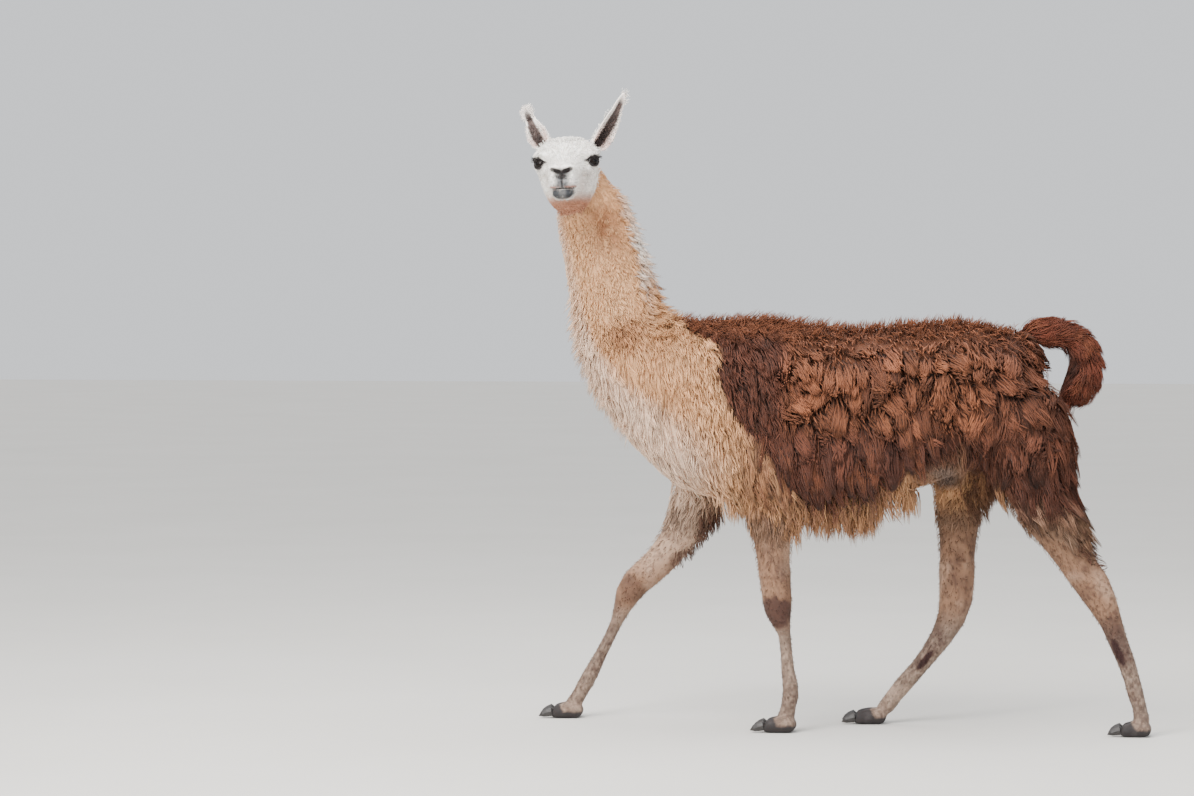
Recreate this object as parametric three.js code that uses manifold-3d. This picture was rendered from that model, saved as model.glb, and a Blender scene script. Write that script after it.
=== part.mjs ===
// A life-size llama, walking, with its head turned to its left. Millimetres, +Z up.
// The animal walks towards -X, its left side is -Y, and its feet stand on z = 0.
// Every shape is the outside of the coat. The body is a set of lofts: the rings of a sphere are
// moved onto sections that follow a spine. Trunk and neck are joined and parted again by a thin
// cut, and where another piece grows out of them, it is cut back by what carries it.

import * as THREE from "three";
import { mergeVertices } from "three/addons/utils/BufferGeometryUtils.js";
import Module from "manifold-3d";

const wasm = await Module();
wasm.setup();

// ---------------------------------------------------------------- driving dimensions

const GAP = 0.4; // clearance that neighbouring pieces keep
const LEFT = -1; // the sign of y on the animal's left
const RIGHT = 1;

// Trunk sections across the body: x, height of the back, height of the belly's fringe, half width.
const TRUNK = [
  [-648, 960, 850, 70],
  [-610, 1020, 780, 116],
  [-548, 1086, 724, 156],
  [-470, 1120, 652, 188],
  [-380, 1108, 622, 208],
  [-260, 1120, 590, 226],
  [-130, 1105, 550, 242],
  [10, 1095, 542, 250],
  [100, 1102, 574, 247],
  [160, 1105, 636, 240],
  [240, 1111, 672, 230],
  [325, 1111, 702, 220],
  [400, 1093, 745, 204],
  [462, 1082, 804, 172],
  [508, 1046, 872, 118],
  [534, 1000, 924, 62],
];
// How high a section is widest, as a share of its height, and how square it is above and below that.
const TRUNK_SECTION = { widest: 0.46, upper: 2.15, lower: 2.9, ends: [0.1, 0.1] };

// Spines below list, station by station: x, y, z, half depth in the plane of the spine, half width.
const NECK = [
  [-430, 0, 780, 110, 120],
  [-478, 0, 850, 138, 142],
  [-522, 0, 922, 154, 152],
  [-564, 0, 988, 154, 142],
  [-602, 0, 1045, 146, 126],
  [-628, -2, 1095, 134, 109],
  [-642, -4, 1150, 127, 98],
  [-657, -8, 1215, 119, 91],
  [-673, -12, 1285, 114, 86],
  [-690, -16, 1350, 110, 82],
  [-707, -18, 1402, 103, 76],
  [-722, -20, 1450, 83, 68],
  [-734, -24, 1500, 63, 59],
  [-746, -28, 1548, 46, 46],
];
const NECK_CUT = { x: -585, z: 990, turn: 28 };

const TAIL = [
  [425, 0, 1050, 40, 38],
  [478, 0, 1068, 45, 42],
  [530, 2, 1079, 46, 44],
  [580, 4, 1074, 46, 46],
  [617, 6, 1050, 47, 48],
  [634, 8, 1014, 50, 50],
  [633, 10, 972, 56, 52],
  [616, 12, 928, 58, 50],
  [602, 12, 890, 44, 40],
  [598, 12, 862, 20, 20],
];
const TAIL_CUTS = {
  root: { x: 552, z: 1078, turn: 0 },
  bend: { x: 634, z: 1010, turn: 0 },
};

// Each leg's spine runs down from inside the trunk into the foot. The joint is the knee or the hock.
const LEGS = {
  fore_left: {
    spine: [
      [-240, -95, 780, 80, 50],
      [-222, -112, 690, 86, 58],
      [-206, -124, 600, 76, 56],
      [-203, -126, 530, 64, 50],
      [-198, -126, 464, 54, 44],
      [-193, -126, 408, 46, 39],
      [-189, -126, 362, 45, 38],
      [-185, -126, 326, 41, 35],
      [-176, -126, 292, 29, 27],
      [-167, -126, 256, 20, 20],
      [-162, -126, 200, 20, 19],
      [-157, -126, 148, 22, 22],
      [-150, -126, 112, 26, 27],
      [-156, -126, 76, 23, 24],
      [-164, -126, 40, 24, 26],
      [-168, -126, 16, 18, 20],
    ],
    joint: { x: -188, z: 340, turn: -4 },
    foot: { x: -186, y: -126, turn: -2, size: 1 },
  },
  fore_right: {
    spine: [
      [-395, 92, 800, 84, 50],
      [-412, 108, 700, 92, 60],
      [-432, 118, 600, 78, 58],
      [-464, 122, 530, 66, 51],
      [-509, 124, 470, 54, 45],
      [-556, 125, 418, 48, 40],
      [-596, 125, 382, 45, 38],
      [-622, 125, 345, 40, 36],
      [-638, 125, 306, 29, 28],
      [-657, 125, 260, 20, 20],
      [-683, 125, 205, 19, 19],
      [-709, 125, 155, 21, 21],
      [-731, 125, 112, 25, 26],
      [-755, 125, 70, 22, 24],
      [-775, 125, 38, 23, 26],
      [-784, 125, 18, 18, 20],
    ],
    joint: { x: -611, z: 362, turn: 34 },
    foot: { x: -797, y: 125, turn: 3, size: 1 },
  },
  hind_left: {
    spine: [
      [428, -92, 985, 96, 62],
      [448, -104, 905, 124, 90],
      [470, -110, 820, 136, 100],
      [486, -110, 735, 132, 98],
      [514, -108, 650, 108, 84],
      [550, -107, 575, 82, 66],
      [592, -106, 500, 62, 51],
      [636, -105, 434, 54, 42],
      [670, -105, 376, 49, 37],
      [697, -105, 322, 37, 31],
      [716, -105, 270, 31, 26],
      [738, -105, 217, 28, 23],
      [756, -105, 164, 25, 22],
      [767, -105, 122, 25, 26],
      [779, -105, 82, 22, 24],
      [787, -105, 42, 23, 26],
      [790, -105, 18, 18, 20],
    ],
    joint: { x: 680, z: 352, turn: -27 },
    foot: { x: 765, y: -105, turn: -4, size: 0.95 },
  },
  hind_right: {
    spine: [
      [430, 92, 985, 92, 62],
      [420, 104, 905, 122, 90],
      [390, 110, 820, 138, 100],
      [338, 108, 740, 120, 96],
      [298, 100, 660, 92, 80],
      [293, 96, 590, 74, 65],
      [292, 92, 525, 64, 52],
      [289, 90, 460, 57, 45],
      [288, 90, 400, 53, 40],
      [286, 90, 344, 51, 37],
      [273, 90, 290, 43, 33],
      [245, 90, 238, 34, 28],
      [212, 90, 190, 28, 24],
      [180, 90, 150, 26, 23],
      [147, 90, 112, 27, 26],
      [116, 90, 74, 25, 24],
      [92, 90, 42, 24, 26],
      [84, 90, 20, 18, 20],
    ],
    joint: { x: 285, z: 316, turn: 8 },
    foot: { x: 47, y: 90, turn: 2, size: 1 },
  },
};

// One toe and its nail in the foot's own frame: the toes point to -X and the sole is z = 0.
const TOE = [
  [54, 14, 16, 16, 17],
  [38, 16, 18, 22, 24],
  [10, 19, 20, 24, 25],
  [-20, 23, 17, 21, 22],
  [-42, 26, 13, 15, 18],
  [-54, 27, 10, 9, 11],
];
const NAIL = [
  [-26, 24, 22, 14, 14],
  [-42, 26, 19, 14, 13.5],
  [-58, 28, 13, 10, 10],
  [-73, 30, 6, 4.5, 4],
];

// Head sections in the head's own frame, whose origin lies midway between the eyes, with x forward,
// y to the animal's left and z up: x, top, widest height, bottom, half width, taper of the lower part.
const HEAD = [
  [-128, 32, 0, -46, 42, 0.2],
  [-108, 60, 4, -102, 66, 0.3],
  [-75, 72, 8, -132, 81, 0.26],
  [-42, 73, 9, -140, 90, 0.28],
  [-14, 68, 9, -138, 93, 0.31],
  [8, 59, 5, -133, 85, 0.26],
  [26, 48, -1, -127, 64, 0.14],
  [46, 36, -10, -120, 53, 0.08],
  [76, 22, -26, -109, 49, 0.1],
  [110, 11, -42, -102, 47, 0.14],
  [140, 2, -50, -99, 45, 0.22],
  [164, -7, -54, -97, 42, 0.26],
  [180, -22, -57, -89, 34, 0.2],
  [190, -44, -60, -76, 18, 0],
];
const HEAD_SECTION = { upper: 2.35, lower: 3, ends: [0.09, 0.07] };
const HEAD_AT = { x: -763, y: -104, z: 1535, yaw: -87.5, pitch: 0, roll: 3 };
const EYE = { x: 8, y: 66, z: 1, radius: 20.5 };
const EYE_OPENING = { x: 18, y: 74, z: 1, long: 17.5, high: 13, deep: 15, yaw: 38 };
const NOSTRIL = { x: 181, y: 16, z: -33, long: 16, high: 4.5, deep: 9, roll: 27 };
const MOUTH = { x: 150, z: -74, reach: 46, groove: 3.2 };

// An ear is a leaf rolled into a crescent, tight at its base and open towards its tip. It swells to
// its full width over the share `belly` of its length, and is unrolled from the share `open` on.
const EAR = {
  length: 168,
  halfWidth: 28.5,
  narrow: 0.72, // the width outside the belly, as a share of the full one
  belly: 0.667,
  thick: 7,
  thinning: 0.45, // the share of the thickness lost on the way to the tip
  rim: 2.4, // how sharply the rim turns from the outer to the inner face
  rollBase: 2.0,
  rollTip: 0.75,
  open: 0.74,
  set: 0.6, // how far the leaf is set forward, in radii of its roll
  ends: [0.08, 0.5],
};
const EARS = {
  ear_left: { x: -46, y: 72, z: 40, out: 43, forward: -4, face: 34, bend: 34, side: 1 },
  ear_right: { x: -40, y: -58, z: 42, out: 27, forward: -43, face: 20, bend: 20, side: -1 },
};

// How many faces each kind of loft has around and along.
const FACES = {
  trunk: [22, 24],
  neck: [18, 15],
  head: [22, 22],
  ear: [12, 9],
  eye: [12, 6],
  tail: [10, 14],
  leg: [12, 17],
  toe: [10, 7],
  nail: [8, 4],
};

// ---------------------------------------------------------------- materials

const finish = (color, roughness) => new THREE.MeshStandardMaterial({ color, roughness, metalness: 0 });
const FINISH = {
  fleece_brown: finish(0x6f3a22, 0.95),
  fleece_cream: finish(0xcfae8c, 0.95),
  face: finish(0xe6ddd2, 0.9),
  leg: finish(0xb9a593, 0.9),
  pad: finish(0x2c2a2b, 0.75),
  nail: finish(0x4a4a50, 0.45),
  eye: finish(0x120c09, 0.08),
};

// ---------------------------------------------------------------- lofts

const UP = new THREE.Vector3(0, 0, 1);
const FORWARDS = new THREE.Vector3(-1, 0, 0);
const degrees = THREE.MathUtils.degToRad;

// The sine or cosine of a superellipse: power 2 is round, and more is squarer.
const rounded = (value, power) => Math.sign(value) * Math.abs(value) ** (2 / power);

// 0 at both ends of a loft and 1 between, rounded off over the shares `first` and `last` of it.
function dome(t, first, last) {
  const from = 1 - Math.min(t / first, 1);
  const to = 1 - Math.min((1 - t) / last, 1);
  const size = Math.sqrt(1 - from ** 2) * Math.sqrt(1 - to ** 2);
  return size > 1e-6 ? size : 0;
}

// A smooth curve through a table's rows, which gives the row at the share t of its stations.
function rows(table) {
  const columns = table[0].map((_, c) => table.map((row) => row[c]));
  const last = table.length - 1;
  return (t) => {
    const place = THREE.MathUtils.clamp(t, 0, 1) * last;
    const i = Math.min(Math.floor(place), last - 1);
    const f = place - i;
    const g = 1 - f;
    return columns.map((v) => {
      const slopeIn = (v[i + 1] - v[Math.max(i - 1, 0)]) / (i > 0 ? 2 : 1);
      const slopeOut = (v[Math.min(i + 2, last)] - v[i]) / (i < last - 1 ? 2 : 1);
      const ends = v[i] * g * g * (1 + 2 * f) + v[i + 1] * f * f * (3 - 2 * f);
      return ends + slopeIn * f * g * g - slopeOut * f * f * g;
    });
  };
}

// A closed geometry as a manifold-3d solid that faces out.
function solid(geometry) {
  const bare = geometry.clone();
  bare.deleteAttribute("normal");
  bare.deleteAttribute("uv");
  const merged = mergeVertices(bare, 1e-3);
  const vertProperties = new Float32Array(merged.attributes.position.array);
  const triVerts = new Uint32Array(merged.index.array);
  const build = () => new wasm.Manifold(new wasm.Mesh({ numProp: 3, vertProperties, triVerts }));
  const made = build();
  if (made.volume() > 0) return made;
  for (let i = 0; i < triVerts.length; i += 3) {
    [triVerts[i + 1], triVerts[i + 2]] = [triVerts[i + 2], triVerts[i + 1]];
  }
  return build();
}

// Moves the rings of a sphere to place(share along, angle around), which closes at both ends.
function loft(place, [around, along]) {
  const geometry = new THREE.SphereGeometry(1, around, along);
  const position = geometry.attributes.position;
  const spot = new THREE.Vector3();
  for (let i = 0; i < position.count; i++) {
    spot.fromBufferAttribute(position, i);
    const share = Math.acos(THREE.MathUtils.clamp(spot.y, -1, 1)) / Math.PI;
    const ring = Math.round(share * along);
    const angle = ring % along === 0 ? 0 : Math.atan2(spot.z, spot.x);
    position.setXYZ(i, ...place(ring / along, angle));
  }
  return solid(geometry);
}

// How far a section `grow` larger all round reaches, closed where the loft ends.
const reach = (length, size, grow) => (size > 0 ? length * size + grow : 0);
const endShift = (t, size, grow) => (1 - size) * (t < 0.5 ? -grow : grow);

// A loft along a spine whose sections stay square to it.
function limb(table, faces, { grow = 0, first = 0.06, last = 0.06, power = 2.1, mirror = 1 } = {}) {
  const at = rows(table);
  const centre = (t) => {
    const [x, y, z] = at(t);
    return new THREE.Vector3(x, y * mirror, z);
  };
  return loft((t, angle) => {
    const [, , , depth, width] = at(t);
    const size = dome(t, first, last);
    const along = centre(t + 0.01).sub(centre(t - 0.01)).normalize();
    const out = new THREE.Vector3(0, 1, 0).addScaledVector(along, -along.y).normalize();
    const ahead = new THREE.Vector3().crossVectors(along, out);
    return centre(t)
      .addScaledVector(along, endShift(t, size, grow))
      .addScaledVector(ahead, reach(depth, size, grow) * rounded(Math.cos(angle), power))
      .addScaledVector(out, reach(width, size, grow) * rounded(Math.sin(angle), power))
      .toArray();
  }, faces);
}

const ellipsoid = (x, y, z, faces = FACES.eye) => solid(new THREE.SphereGeometry(1, ...faces).scale(x, y, z));

// Moves a solid as a three.js object with this position and rotation would.
function moved(shape, { x = 0, y = 0, z = 0, rx = 0, ry = 0, rz = 0 }) {
  const holder = new THREE.Object3D();
  holder.position.set(x, y, z);
  holder.rotation.set(degrees(rx), degrees(ry), degrees(rz), "ZYX");
  holder.updateMatrix();
  return shape.transform(holder.matrix.elements);
}

// Parts a solid by a plane through x, z whose normal is turned about the y axis, with a thin gap
// between the two sides. The side that the normal points to comes first.
function part(shape, { x, z, turn }, normal) {
  const n = normal.clone().applyAxisAngle(new THREE.Vector3(0, 1, 0), degrees(turn));
  const offset = n.x * x + n.z * z;
  return [
    shape.trimByPlane(n.toArray(), offset + GAP / 2),
    shape.trimByPlane(n.clone().negate().toArray(), -offset + GAP / 2),
  ];
}

// ---------------------------------------------------------------- trunk, neck and tail

// The trunk's sections stand upright across the body and are squarer below, where the fringe hangs.
function trunk(grow) {
  const at = rows(TRUNK);
  return loft((t, angle) => {
    const [x, top, bottom, halfWidth] = at(t);
    const size = dome(t, ...TRUNK_SECTION.ends);
    const widest = bottom + TRUNK_SECTION.widest * (top - bottom);
    const up = Math.cos(angle);
    const height = up > 0 ? top - widest : widest - bottom;
    const power = up > 0 ? TRUNK_SECTION.upper : TRUNK_SECTION.lower;
    const side = reach(halfWidth, size, grow) * rounded(Math.sin(angle), power);
    return [x + endShift(t, size, grow), side, widest + reach(height, size, grow) * rounded(up, power)];
  }, FACES.trunk);
}

const neckAndBreast = (grow) => limb(NECK, FACES.neck, { grow, last: 0.09 });

function tailPieces(carrier) {
  const tail = limb(TAIL, FACES.tail, { last: 0.2 }).subtract(carrier);
  const [root, beyond] = part(tail, TAIL_CUTS.root, FORWARDS);
  const [bend, tip] = part(beyond, TAIL_CUTS.bend, UP);
  return { tail_root: root, tail_bend: bend, tail_tip: tip };
}

// ---------------------------------------------------------------- head

function skull(grow) {
  const at = rows(HEAD);
  return loft((t, angle) => {
    const [x, top, widest, bottom, halfWidth, taper] = at(t);
    const size = dome(t, ...HEAD_SECTION.ends);
    const up = Math.cos(angle);
    const height = up > 0 ? top - widest : widest - bottom;
    const power = up > 0 ? HEAD_SECTION.upper : HEAD_SECTION.lower;
    const rise = reach(height, size, grow) * rounded(up, power);
    const low = Math.max(0, -rise / (widest - bottom));
    const side = reach(halfWidth, size, grow) * rounded(Math.sin(angle), power);
    return [x + endShift(t, size, grow), side * (1 - taper * low), widest + rise];
  }, FACES.head);
}

function earLeaf({ bend, side }) {
  return loft((t, angle) => {
    const size = dome(t, ...EAR.ends);
    const swell = Math.sin(Math.PI * Math.min(t / EAR.belly, 1));
    const width = EAR.halfWidth * size * THREE.MathUtils.lerp(EAR.narrow, 1, swell);
    const roll = THREE.MathUtils.lerp(EAR.rollBase, EAR.rollTip, Math.min(t / EAR.open, 1));
    const radius = width / Math.sin(Math.min(roll, Math.PI / 2));
    const thick = EAR.thick * size * (1 - EAR.thinning * t);
    const face = THREE.MathUtils.clamp(Math.sin(angle) * EAR.rim, -1, 1);
    const arc = ((Math.abs(angle) / Math.PI) * 2 - 1) * roll;
    const out = radius + (thick / 2) * face;
    const lean = bend * t * t;
    return [radius * EAR.set - out * Math.cos(arc), -side * (lean + out * Math.sin(arc)), EAR.length * t];
  }, FACES.ear);
}

function mouthGroove() {
  const slot = new THREE.CylinderGeometry(MOUTH.reach, MOUTH.reach, MOUTH.groove, 20).rotateX(Math.PI / 2);
  return solid(slot.translate(MOUTH.x, 0, MOUTH.z)).subtract(skull(-MOUTH.groove));
}

// The head with its eye sockets, nostrils and mouth, and the eyes and ears that it carries.
function headPieces() {
  const pieces = {};
  const sides = { eye_left: 1, eye_right: -1 };
  let head = skull(0).subtract(mouthGroove());
  for (const [name, sign] of Object.entries(sides)) {
    const place = (shape, { x, y, z }, turns) => moved(shape, { x, y: sign * y, z, ...turns });
    const ball = (size) => place(ellipsoid(size, size, size), EYE);
    const opening = ellipsoid(EYE_OPENING.deep, EYE_OPENING.long, EYE_OPENING.high);
    const nostril = ellipsoid(NOSTRIL.deep, NOSTRIL.long, NOSTRIL.high, [8, 4]);
    head = head
      .subtract(place(opening, EYE_OPENING, { rz: sign * EYE_OPENING.yaw }))
      .subtract(place(nostril, NOSTRIL, { rx: sign * NOSTRIL.roll }))
      .subtract(ball(EYE.radius + GAP));
    pieces[name] = ball(EYE.radius);
  }
  for (const [name, ear] of Object.entries(EARS)) {
    const turned = moved(earLeaf(ear), { rz: ear.side * ear.face });
    const leaf = moved(turned, { x: ear.x, y: ear.y, z: ear.z, rx: -ear.side * ear.out, ry: ear.forward });
    pieces[name] = leaf.subtract(skull(GAP));
  }
  return { head, ...pieces };
}

// ---------------------------------------------------------------- feet

// A foot is two toes side by side, cut flat where they stand, each with a nail set into its tip.
function footPieces() {
  const nail = (mirror, grow) => limb(NAIL, FACES.nail, { first: 0.2, last: 0.2, mirror, grow });
  const toe = (mirror) => limb(TOE, FACES.toe, { first: 0.3, last: 0.25, power: 2.3, mirror });
  const toes = toe(LEFT).add(toe(RIGHT)).trimByPlane(UP.toArray(), 0);
  return {
    toes,
    pad: toes.subtract(nail(LEFT, GAP)).subtract(nail(RIGHT, GAP)),
    nails: { nail_left: nail(LEFT, 0), nail_right: nail(RIGHT, 0) },
  };
}

// ---------------------------------------------------------------- the animal

const llama = new THREE.Group();

// Adds a named mesh of the solid's one body. Crumbs that a cut leaves are dropped.
function add(parent, name, shape, material) {
  const [body] = shape.decompose().sort((a, b) => b.volume() - a.volume());
  const { vertProperties, triVerts } = body.getMesh();
  const geometry = new THREE.BufferGeometry()
    .setAttribute("position", new THREE.BufferAttribute(new Float32Array(vertProperties), 3))
    .setIndex(new THREE.BufferAttribute(new Uint32Array(triVerts), 1));
  geometry.computeVertexNormals();
  const mesh = new THREE.Mesh(geometry, material);
  mesh.name = name;
  parent.add(mesh);
}

function groupAt({ x, y, z = 0, roll = 0, pitch = 0, yaw = 0, size = 1 }) {
  const group = new THREE.Group();
  group.position.set(x, y, z);
  group.rotation.set(degrees(roll), degrees(pitch), degrees(yaw), "ZYX");
  group.scale.setScalar(size);
  group.updateMatrix();
  llama.add(group);
  return group;
}

function addHead() {
  const group = groupAt(HEAD_AT);
  for (const [name, shape] of Object.entries(headPieces())) {
    add(group, name, shape, name.startsWith("eye") ? FINISH.eye : FINISH.face);
  }
  return skull(GAP).transform(group.matrix.elements);
}

function addBody(headRoom) {
  const [neck, body] = part(trunk(0).add(neckAndBreast(0)), NECK_CUT, FORWARDS);
  add(llama, "neck", neck.subtract(headRoom), FINISH.fleece_cream);
  add(llama, "trunk", body, FINISH.fleece_brown);
  return trunk(GAP).add(neckAndBreast(GAP));
}

function addTail(bodyRoom) {
  for (const [name, shape] of Object.entries(tailPieces(bodyRoom))) {
    add(llama, name, shape, FINISH.fleece_brown);
  }
}

function addLeg(name, { spine, joint, foot }, bodyRoom, { toes, pad, nails }) {
  const group = groupAt({ ...foot, yaw: foot.turn });
  const footRoom = toes.scale(1 + GAP / TOE[2][2] / 2).transform(group.matrix.elements);
  const shaft = limb(spine, FACES.leg, { first: 0.05, last: 0.05 }).subtract(bodyRoom);
  const [upper, lower] = part(shaft, joint, UP);
  add(llama, `${name}_upper`, upper, FINISH.leg);
  add(llama, `${name}_lower`, lower.subtract(footRoom), FINISH.leg);
  add(group, `${name}_foot`, pad, FINISH.pad);
  for (const [nail, shape] of Object.entries(nails)) {
    add(group, `${name}_${nail}`, shape, FINISH.nail);
  }
}

const bodyRoom = addBody(addHead());
addTail(bodyRoom);
const foot = footPieces();
for (const [name, leg] of Object.entries(LEGS)) {
  addLeg(name, leg, bodyRoom, foot);
}

// The origin is on the floor, below the middle of the animal's box.
llama.updateMatrixWorld(true);
const box = new THREE.Box3().setFromObject(llama, true);
llama.position.set(-(box.min.x + box.max.x) / 2, -(box.min.y + box.max.y) / 2, -box.min.z);

export default llama;
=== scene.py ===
import math

import bpy
import numpy as np
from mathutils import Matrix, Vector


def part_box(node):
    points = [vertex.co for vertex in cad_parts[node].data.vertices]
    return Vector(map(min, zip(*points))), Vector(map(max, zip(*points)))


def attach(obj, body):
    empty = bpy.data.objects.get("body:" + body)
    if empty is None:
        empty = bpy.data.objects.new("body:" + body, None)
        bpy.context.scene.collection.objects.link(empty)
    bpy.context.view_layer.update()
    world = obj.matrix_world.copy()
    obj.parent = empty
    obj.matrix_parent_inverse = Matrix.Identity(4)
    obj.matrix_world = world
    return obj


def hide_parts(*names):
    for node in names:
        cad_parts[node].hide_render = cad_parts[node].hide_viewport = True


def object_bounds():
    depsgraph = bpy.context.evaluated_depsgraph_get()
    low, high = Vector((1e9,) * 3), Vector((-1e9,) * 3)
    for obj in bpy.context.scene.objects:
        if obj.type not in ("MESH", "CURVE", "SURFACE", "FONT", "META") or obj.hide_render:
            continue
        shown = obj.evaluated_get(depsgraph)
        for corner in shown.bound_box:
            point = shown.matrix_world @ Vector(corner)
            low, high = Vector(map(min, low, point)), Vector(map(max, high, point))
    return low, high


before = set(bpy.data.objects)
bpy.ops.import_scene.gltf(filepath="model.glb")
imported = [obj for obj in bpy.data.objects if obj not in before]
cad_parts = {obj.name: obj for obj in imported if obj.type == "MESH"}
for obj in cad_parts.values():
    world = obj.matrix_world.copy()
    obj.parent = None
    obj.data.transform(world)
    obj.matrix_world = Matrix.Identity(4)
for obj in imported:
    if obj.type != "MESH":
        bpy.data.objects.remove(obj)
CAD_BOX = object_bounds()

import openvdb
from mathutils import Matrix, Vector
from mathutils.bvhtree import BVHTree
from mathutils.kdtree import KDTree

# A llama with a skin under a coat of solid locks. Metres, in the row frame. The animal walks towards
# -X and its left side is -Y. Places named in millimetres below are in its drawing's frame, which has
# the same axes and whose origin is between the feet.

MM = 0.001
LEGS = ("fore_left", "fore_right", "hind_left", "hind_right")


def turn(axis, degrees):
    return Matrix.Rotation(math.radians(degrees), 3, axis)


# ------------------------------------------------------------------ the head's own frame
# Origin midway between the eyes, x forward, y to the animal's left, z up.

HEAD_PLACE = Vector((-763, -104, 1535)) * MM
HEAD_TURN = turn("Z", -87.5) @ turn("X", 3)
EYE = Vector((8, 66, 1)) * MM
EYE_RADIUS = 20.3 * MM


def box_middle(node):
    lowest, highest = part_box(node)
    return (lowest + highest) / 2


SHIFT = np.array(box_middle("eye_left") - (HEAD_PLACE + HEAD_TURN @ EYE))
HEAD_AT = np.array(HEAD_PLACE) + SHIFT
HEAD_AXES = np.array(HEAD_TURN)


def place(points):
    """Points of the drawing, in millimetres, in the row frame."""
    return np.asarray(points, float) * MM + SHIFT


def drawing(points):
    """Points of the row frame in the drawing's millimetres."""
    return (points - SHIFT) / MM


def to_head(points):
    """Points of the row frame in the head's own frame, in millimetres."""
    return (points - HEAD_AT) @ HEAD_AXES / MM


def from_head(points):
    """Points of the head's own frame, in millimetres, in the row frame."""
    return np.asarray(points, float) * MM @ HEAD_AXES.T + HEAD_AT


def head_points(p):
    """Points of the drawing in the head's own frame."""
    return to_head(place(p))


def both_sides(points):
    """Points with the right side folded onto the left."""
    return np.stack([points[:, 0], np.abs(points[:, 1]), points[:, 2]], -1)


# ------------------------------------------------------------------ small functions
def smooth(value, low, high):
    """0 below low, 1 above high and a soft step between."""
    t = np.clip((value - low) / (high - low), 0, 1)
    return t * t * (3 - 2 * t)


def bump(value, middle, reach):
    """1 at the middle, falling softly to 0 at a distance of reach."""
    t = np.clip(1 - ((value - middle) / reach) ** 2, 0, 1)
    return t * t


def mix(a, b, share):
    return a + (b - a) * share


def unit(v):
    return v / np.maximum(np.linalg.norm(v, axis=-1, keepdims=True), 1e-9)


def dot(a, b):
    return (a * b).sum(-1, keepdims=True)


def add_object(name, data):
    made = bpy.data.objects.new(name, data)
    bpy.context.scene.collection.objects.link(made)
    return made


def mesh_object(name, points, faces):
    mesh = bpy.data.meshes.new(name)
    mesh.from_pydata(points.tolist(), [], faces.tolist())
    return add_object(name, mesh)


def read_mesh(mesh):
    """A mesh's points and its triangles."""
    points = np.empty(len(mesh.vertices) * 3)
    mesh.vertices.foreach_get("co", points)
    mesh.calc_loop_triangles()
    tris = np.empty(len(mesh.loop_triangles) * 3, np.int32)
    mesh.loop_triangles.foreach_get("vertices", tris)
    return points.reshape(-1, 3), tris.reshape(-1, 3)


def lattice(i, j, k, seed):
    """A random number from 0 to 1 for each point of a lattice."""
    h = (i * 374761393 + j * 668265263 + k * 2147483647 + seed * 1274126177) & 0xFFFFFFFF
    h = ((h ^ (h >> 13)) * 1274126177) & 0xFFFFFFFF
    h = ((h ^ (h >> 16)) * 2246822519) & 0xFFFFFFFF
    return ((h ^ (h >> 15)) & 0xFFFF) / 65535.0


def cell_corners(cell, share):
    """The eight corners of grid cells, and each corner's weight at a place in its cell."""
    for di in (0, 1):
        for dj in (0, 1):
            for dk in (0, 1):
                weight = np.ones(len(cell))
                for axis, step in enumerate((di, dj, dk)):
                    weight = weight * (share[:, axis] if step else 1 - share[:, axis])
                yield cell[:, 0] + di, cell[:, 1] + dj, cell[:, 2] + dk, weight


def noise(points, size, seed=0, octaves=1):
    """Soft noise from -1 to 1 whose blots are about `size` across, in the units of the points."""
    total, share, weight = np.zeros(len(points)), 1.0, 0.0
    for octave in range(octaves):
        q = points / size * 2 ** octave + 31.7 * octave
        cell = np.floor(q).astype(np.int64)
        f = q - cell
        f = f * f * (3 - 2 * f)
        value = np.zeros(len(points))
        for i, j, k, w in cell_corners(cell, f):
            value += w * lattice(i, j, k, seed + octave)
        total += share * (value * 2 - 1)
        weight += share
        share *= 0.55
    return total / weight


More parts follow.
